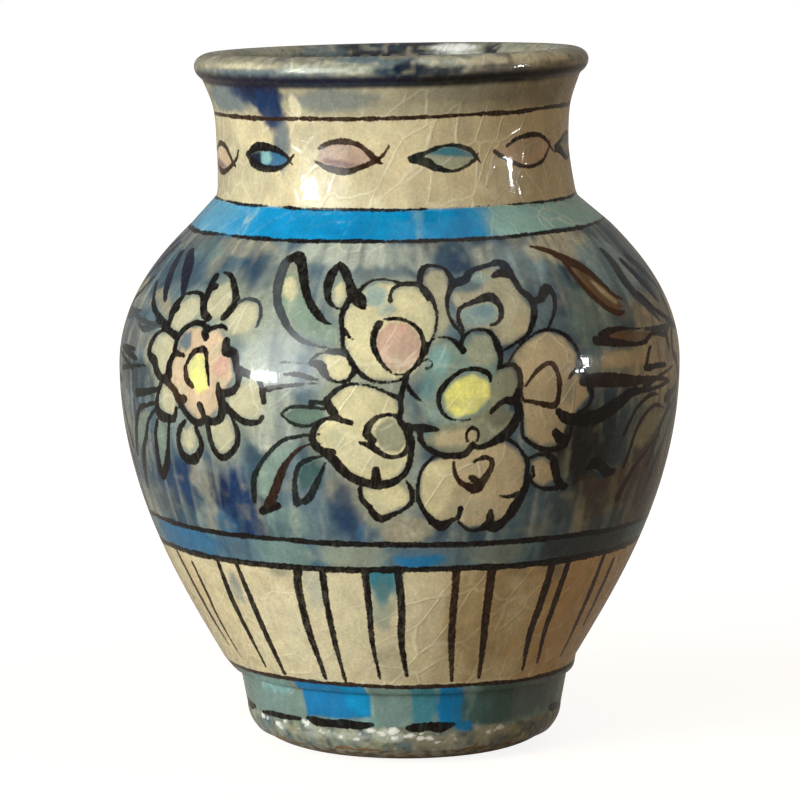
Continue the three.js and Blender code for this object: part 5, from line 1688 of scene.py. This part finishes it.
def lining():
    """The liner glaze: the inside's outline carried round, with a face one coat behind."""
    line = inside_line()
    throat = np.argmax(line[:, 1] > THROAT)
    line = np.concatenate([spaced(line[:throat + 1], 1.8), spaced(line[throat:], 0.8)[1:]])
    angle, height, face = carried_round(line, PLAIN_COLUMNS, start=np.pi)
    out = facing(face)
    pick = np.arange(len(line))[::-2]
    back = face[pick] - LINER_COAT * out[pick]
    rings = np.concatenate([face, back])
    piece = closed_mesh("glaze_of_inside", rings, liner, ["inner_glaze"])
    colour = mottled(angle, height, MOUTH_WASHES, 59)
    set_colours(piece.data, "paint", colour, CREAM, len(pick) * PLAIN_COLUMNS)


def standing_foot():
    """The clay foot: hollow, standing ring and outside as one closed outline carried round."""
    seat = FOOT_TOP - CLAY_GAP
    outer = np.concatenate([foot_edge, [(FOOT_RADIUS, FOOT_TOP)]])
    outer = inward(spaced(outer, 0.6), CLAY_GAP)
    outer = outer[(outer[:, 1] >= 0) & (outer[:, 1] < seat)]
    line = spaced(np.concatenate([
        [(FOOT_BORE, seat), (FOOT_BORE, BORE_EDGE), (STANDING_INNER, 0), (STANDING - 0.2, 0)],
        outer,
        [(outer[-1, 0], seat)],
    ]), 0.8)
    rings = carried_round(line, PLAIN_COLUMNS)[2]
    closed_mesh("clay_of_foot", rings, foot_clay, ["foot_ring"])


lining()
standing_foot()

for part in frame["record"]["subparts"]:
    node = frame["nodes"][part["node"]]
    node.data.materials.clear()
    node.data.materials.append(slip if part["material_slot"] == "slip" else clay)


# Floor, light and camera

def white_share(tree):
    """How white the room looks along a ray: wholly when seen, by a share when mirrored."""
    rays = tree.nodes.new("ShaderNodeLightPath").outputs
    seen = figure(tree, "MAXIMUM", rays["Is Camera Ray"], rays["Is Transmission Ray"])
    return figure(tree, "MAXIMUM", seen, times(tree, rays["Is Glossy Ray"], MIRRORED_ROOM))


def pale_floor():
    """A wide pale disc, seen as white with the vase's shadow left on it."""
    turn = np.linspace(0, 2 * np.pi, FLOOR_CORNERS, endpoint=False)
    across, along = FLOOR_REACH * np.cos(turn), FLOOR_REACH * np.sin(turn)
    corners = np.stack([across, along, np.zeros(FLOOR_CORNERS)], -1)
    mesh = bpy.data.meshes.new("floor")
    mesh.from_pydata(corners.tolist(), [], [list(range(FLOOR_CORNERS))])
    floor = in_scene("floor", mesh)
    made = bpy.data.materials.new("pale_floor")
    tree = emptied(made)
    matt = add(tree, "ShaderNodeBsdfDiffuse", {"Color": (0.36, 0.28, 0.2, 1)}).outputs[0]
    place = add(tree, "ShaderNodeTexCoord").outputs["Object"]
    away = vector(tree, "LENGTH", {0: place}, "Value")
    strength = times(tree, white_share(tree), ranged(tree, away, 0.12, 0.6, 0.88, 1.0))
    glow = add(tree, "ShaderNodeEmission", {"Color": (1, 1, 1, 1), "Strength": strength})
    both = add(tree, "ShaderNodeAddShader", {0: matt, 1: glow.outputs[0]}).outputs[0]
    add(tree, "ShaderNodeOutputMaterial", {0: both})
    mesh.materials.append(made)


def room():
    """Even dim light from all round, seen as white behind the vase."""
    world = bpy.data.worlds.new("room")
    bpy.context.scene.world = world
    tree = emptied(world)
    dim = add(tree, "ShaderNodeBackground", {"Color": (1, 0.8, 0.6, 1), "Strength": 0.09})
    white = add(tree, "ShaderNodeBackground", {"Color": (1, 1, 1, 1), "Strength": 1.0})
    shaders = {0: white_share(tree), 1: dim.outputs[0], 2: white.outputs[0]}
    mix = add(tree, "ShaderNodeMixShader", shaders).outputs[0]
    add(tree, "ShaderNodeOutputWorld", {0: mix})


def lamp(name, place, aim, size, power, colour, fading=False, glint=False, in_glaze=True):
    """A soft light that faces a height on the axis; a glint lamp shows only as a reflection.

    A fading lamp is oval. Its glow falls from twice its mean in the middle to none at the edge, by
    the square of the distance.
    """
    data = bpy.data.lights.new(name, "AREA")
    data.shape = "ELLIPSE" if fading else "RECTANGLE"
    data.size, data.size_y = size
    data.energy = power
    data.color = colour
    if fading:
        data.use_nodes = True
        tree = data.node_tree
        spot = add(tree, "ShaderNodeNewGeometry").outputs["Parametric"]
        away = vector(tree, "DISTANCE", {0: spot, 1: (0.5, 0.5, 0)}, "Value")
        glow = added(tree, 2.0, times(tree, away, away), -8.0)
        feed(tree, tree.nodes["Emission"], {"Strength": figure(tree, "MAXIMUM", glow, 0.0)})
    made = in_scene(name, data)
    made.visible_diffuse = not glint
    made.visible_glossy = in_glaze
    across, along, up = np.array((0, 0, aim)) - np.array(place)
    made.location = place
    made.rotation_euler = (np.arctan2(np.hypot(across, along), -up), 0, np.arctan2(-across, along))


pale_floor()
room()
# Place and faced height in metres, width and height, power and colour
lamp("soft_key", (-1.07, -1.0, 0.42), 0.11, (1.3, 1.5), 30.5, (0.96, 1.0, 1.0), fading=True)
lamp("window_left", (-1.16, -0.8, 0.2), 0.115, (0.26, 0.16), 8.0, (0.92, 0.98, 1.0), glint=True)
lamp("warm_fill", (1.25, -0.8, 0.2), 0.11, (0.8, 0.8), 1.9, (1.0, 0.62, 0.32))
lamp("window_right", (1.4, -0.26, 0.28), 0.12, (0.06, 0.13), 4.0, (1.0, 1.0, 1.0), glint=True)
lamp("window_right_low", (1.4, -0.34, 0.18), 0.12, (0.07, 0.035), 1.2, (0.9, 0.97, 1.0), glint=True)
lamp("ceiling", (0.6, -0.4, 1.6), 0.15, (1.6, 1.6), 5.5, (1.0, 0.96, 0.9))
lamp("window_behind", (0.2, 2.4, 1.1), 0.12, (4.0, 2.4), 16.0, (1.0, 0.97, 0.92), in_glaze=False)

camera_data = bpy.data.cameras.new("camera")
camera_data.sensor_width = SENSOR
camera_data.lens = LENS
camera = in_scene("camera", camera_data)
camera.location = CAMERA_PLACE
camera.rotation_euler = (np.radians(CAMERA_TILT), 0, 0)
bpy.context.scene.camera = camera
bpy.context.scene.view_settings.view_transform = "Standard"

bpy.context.view_layer.update()
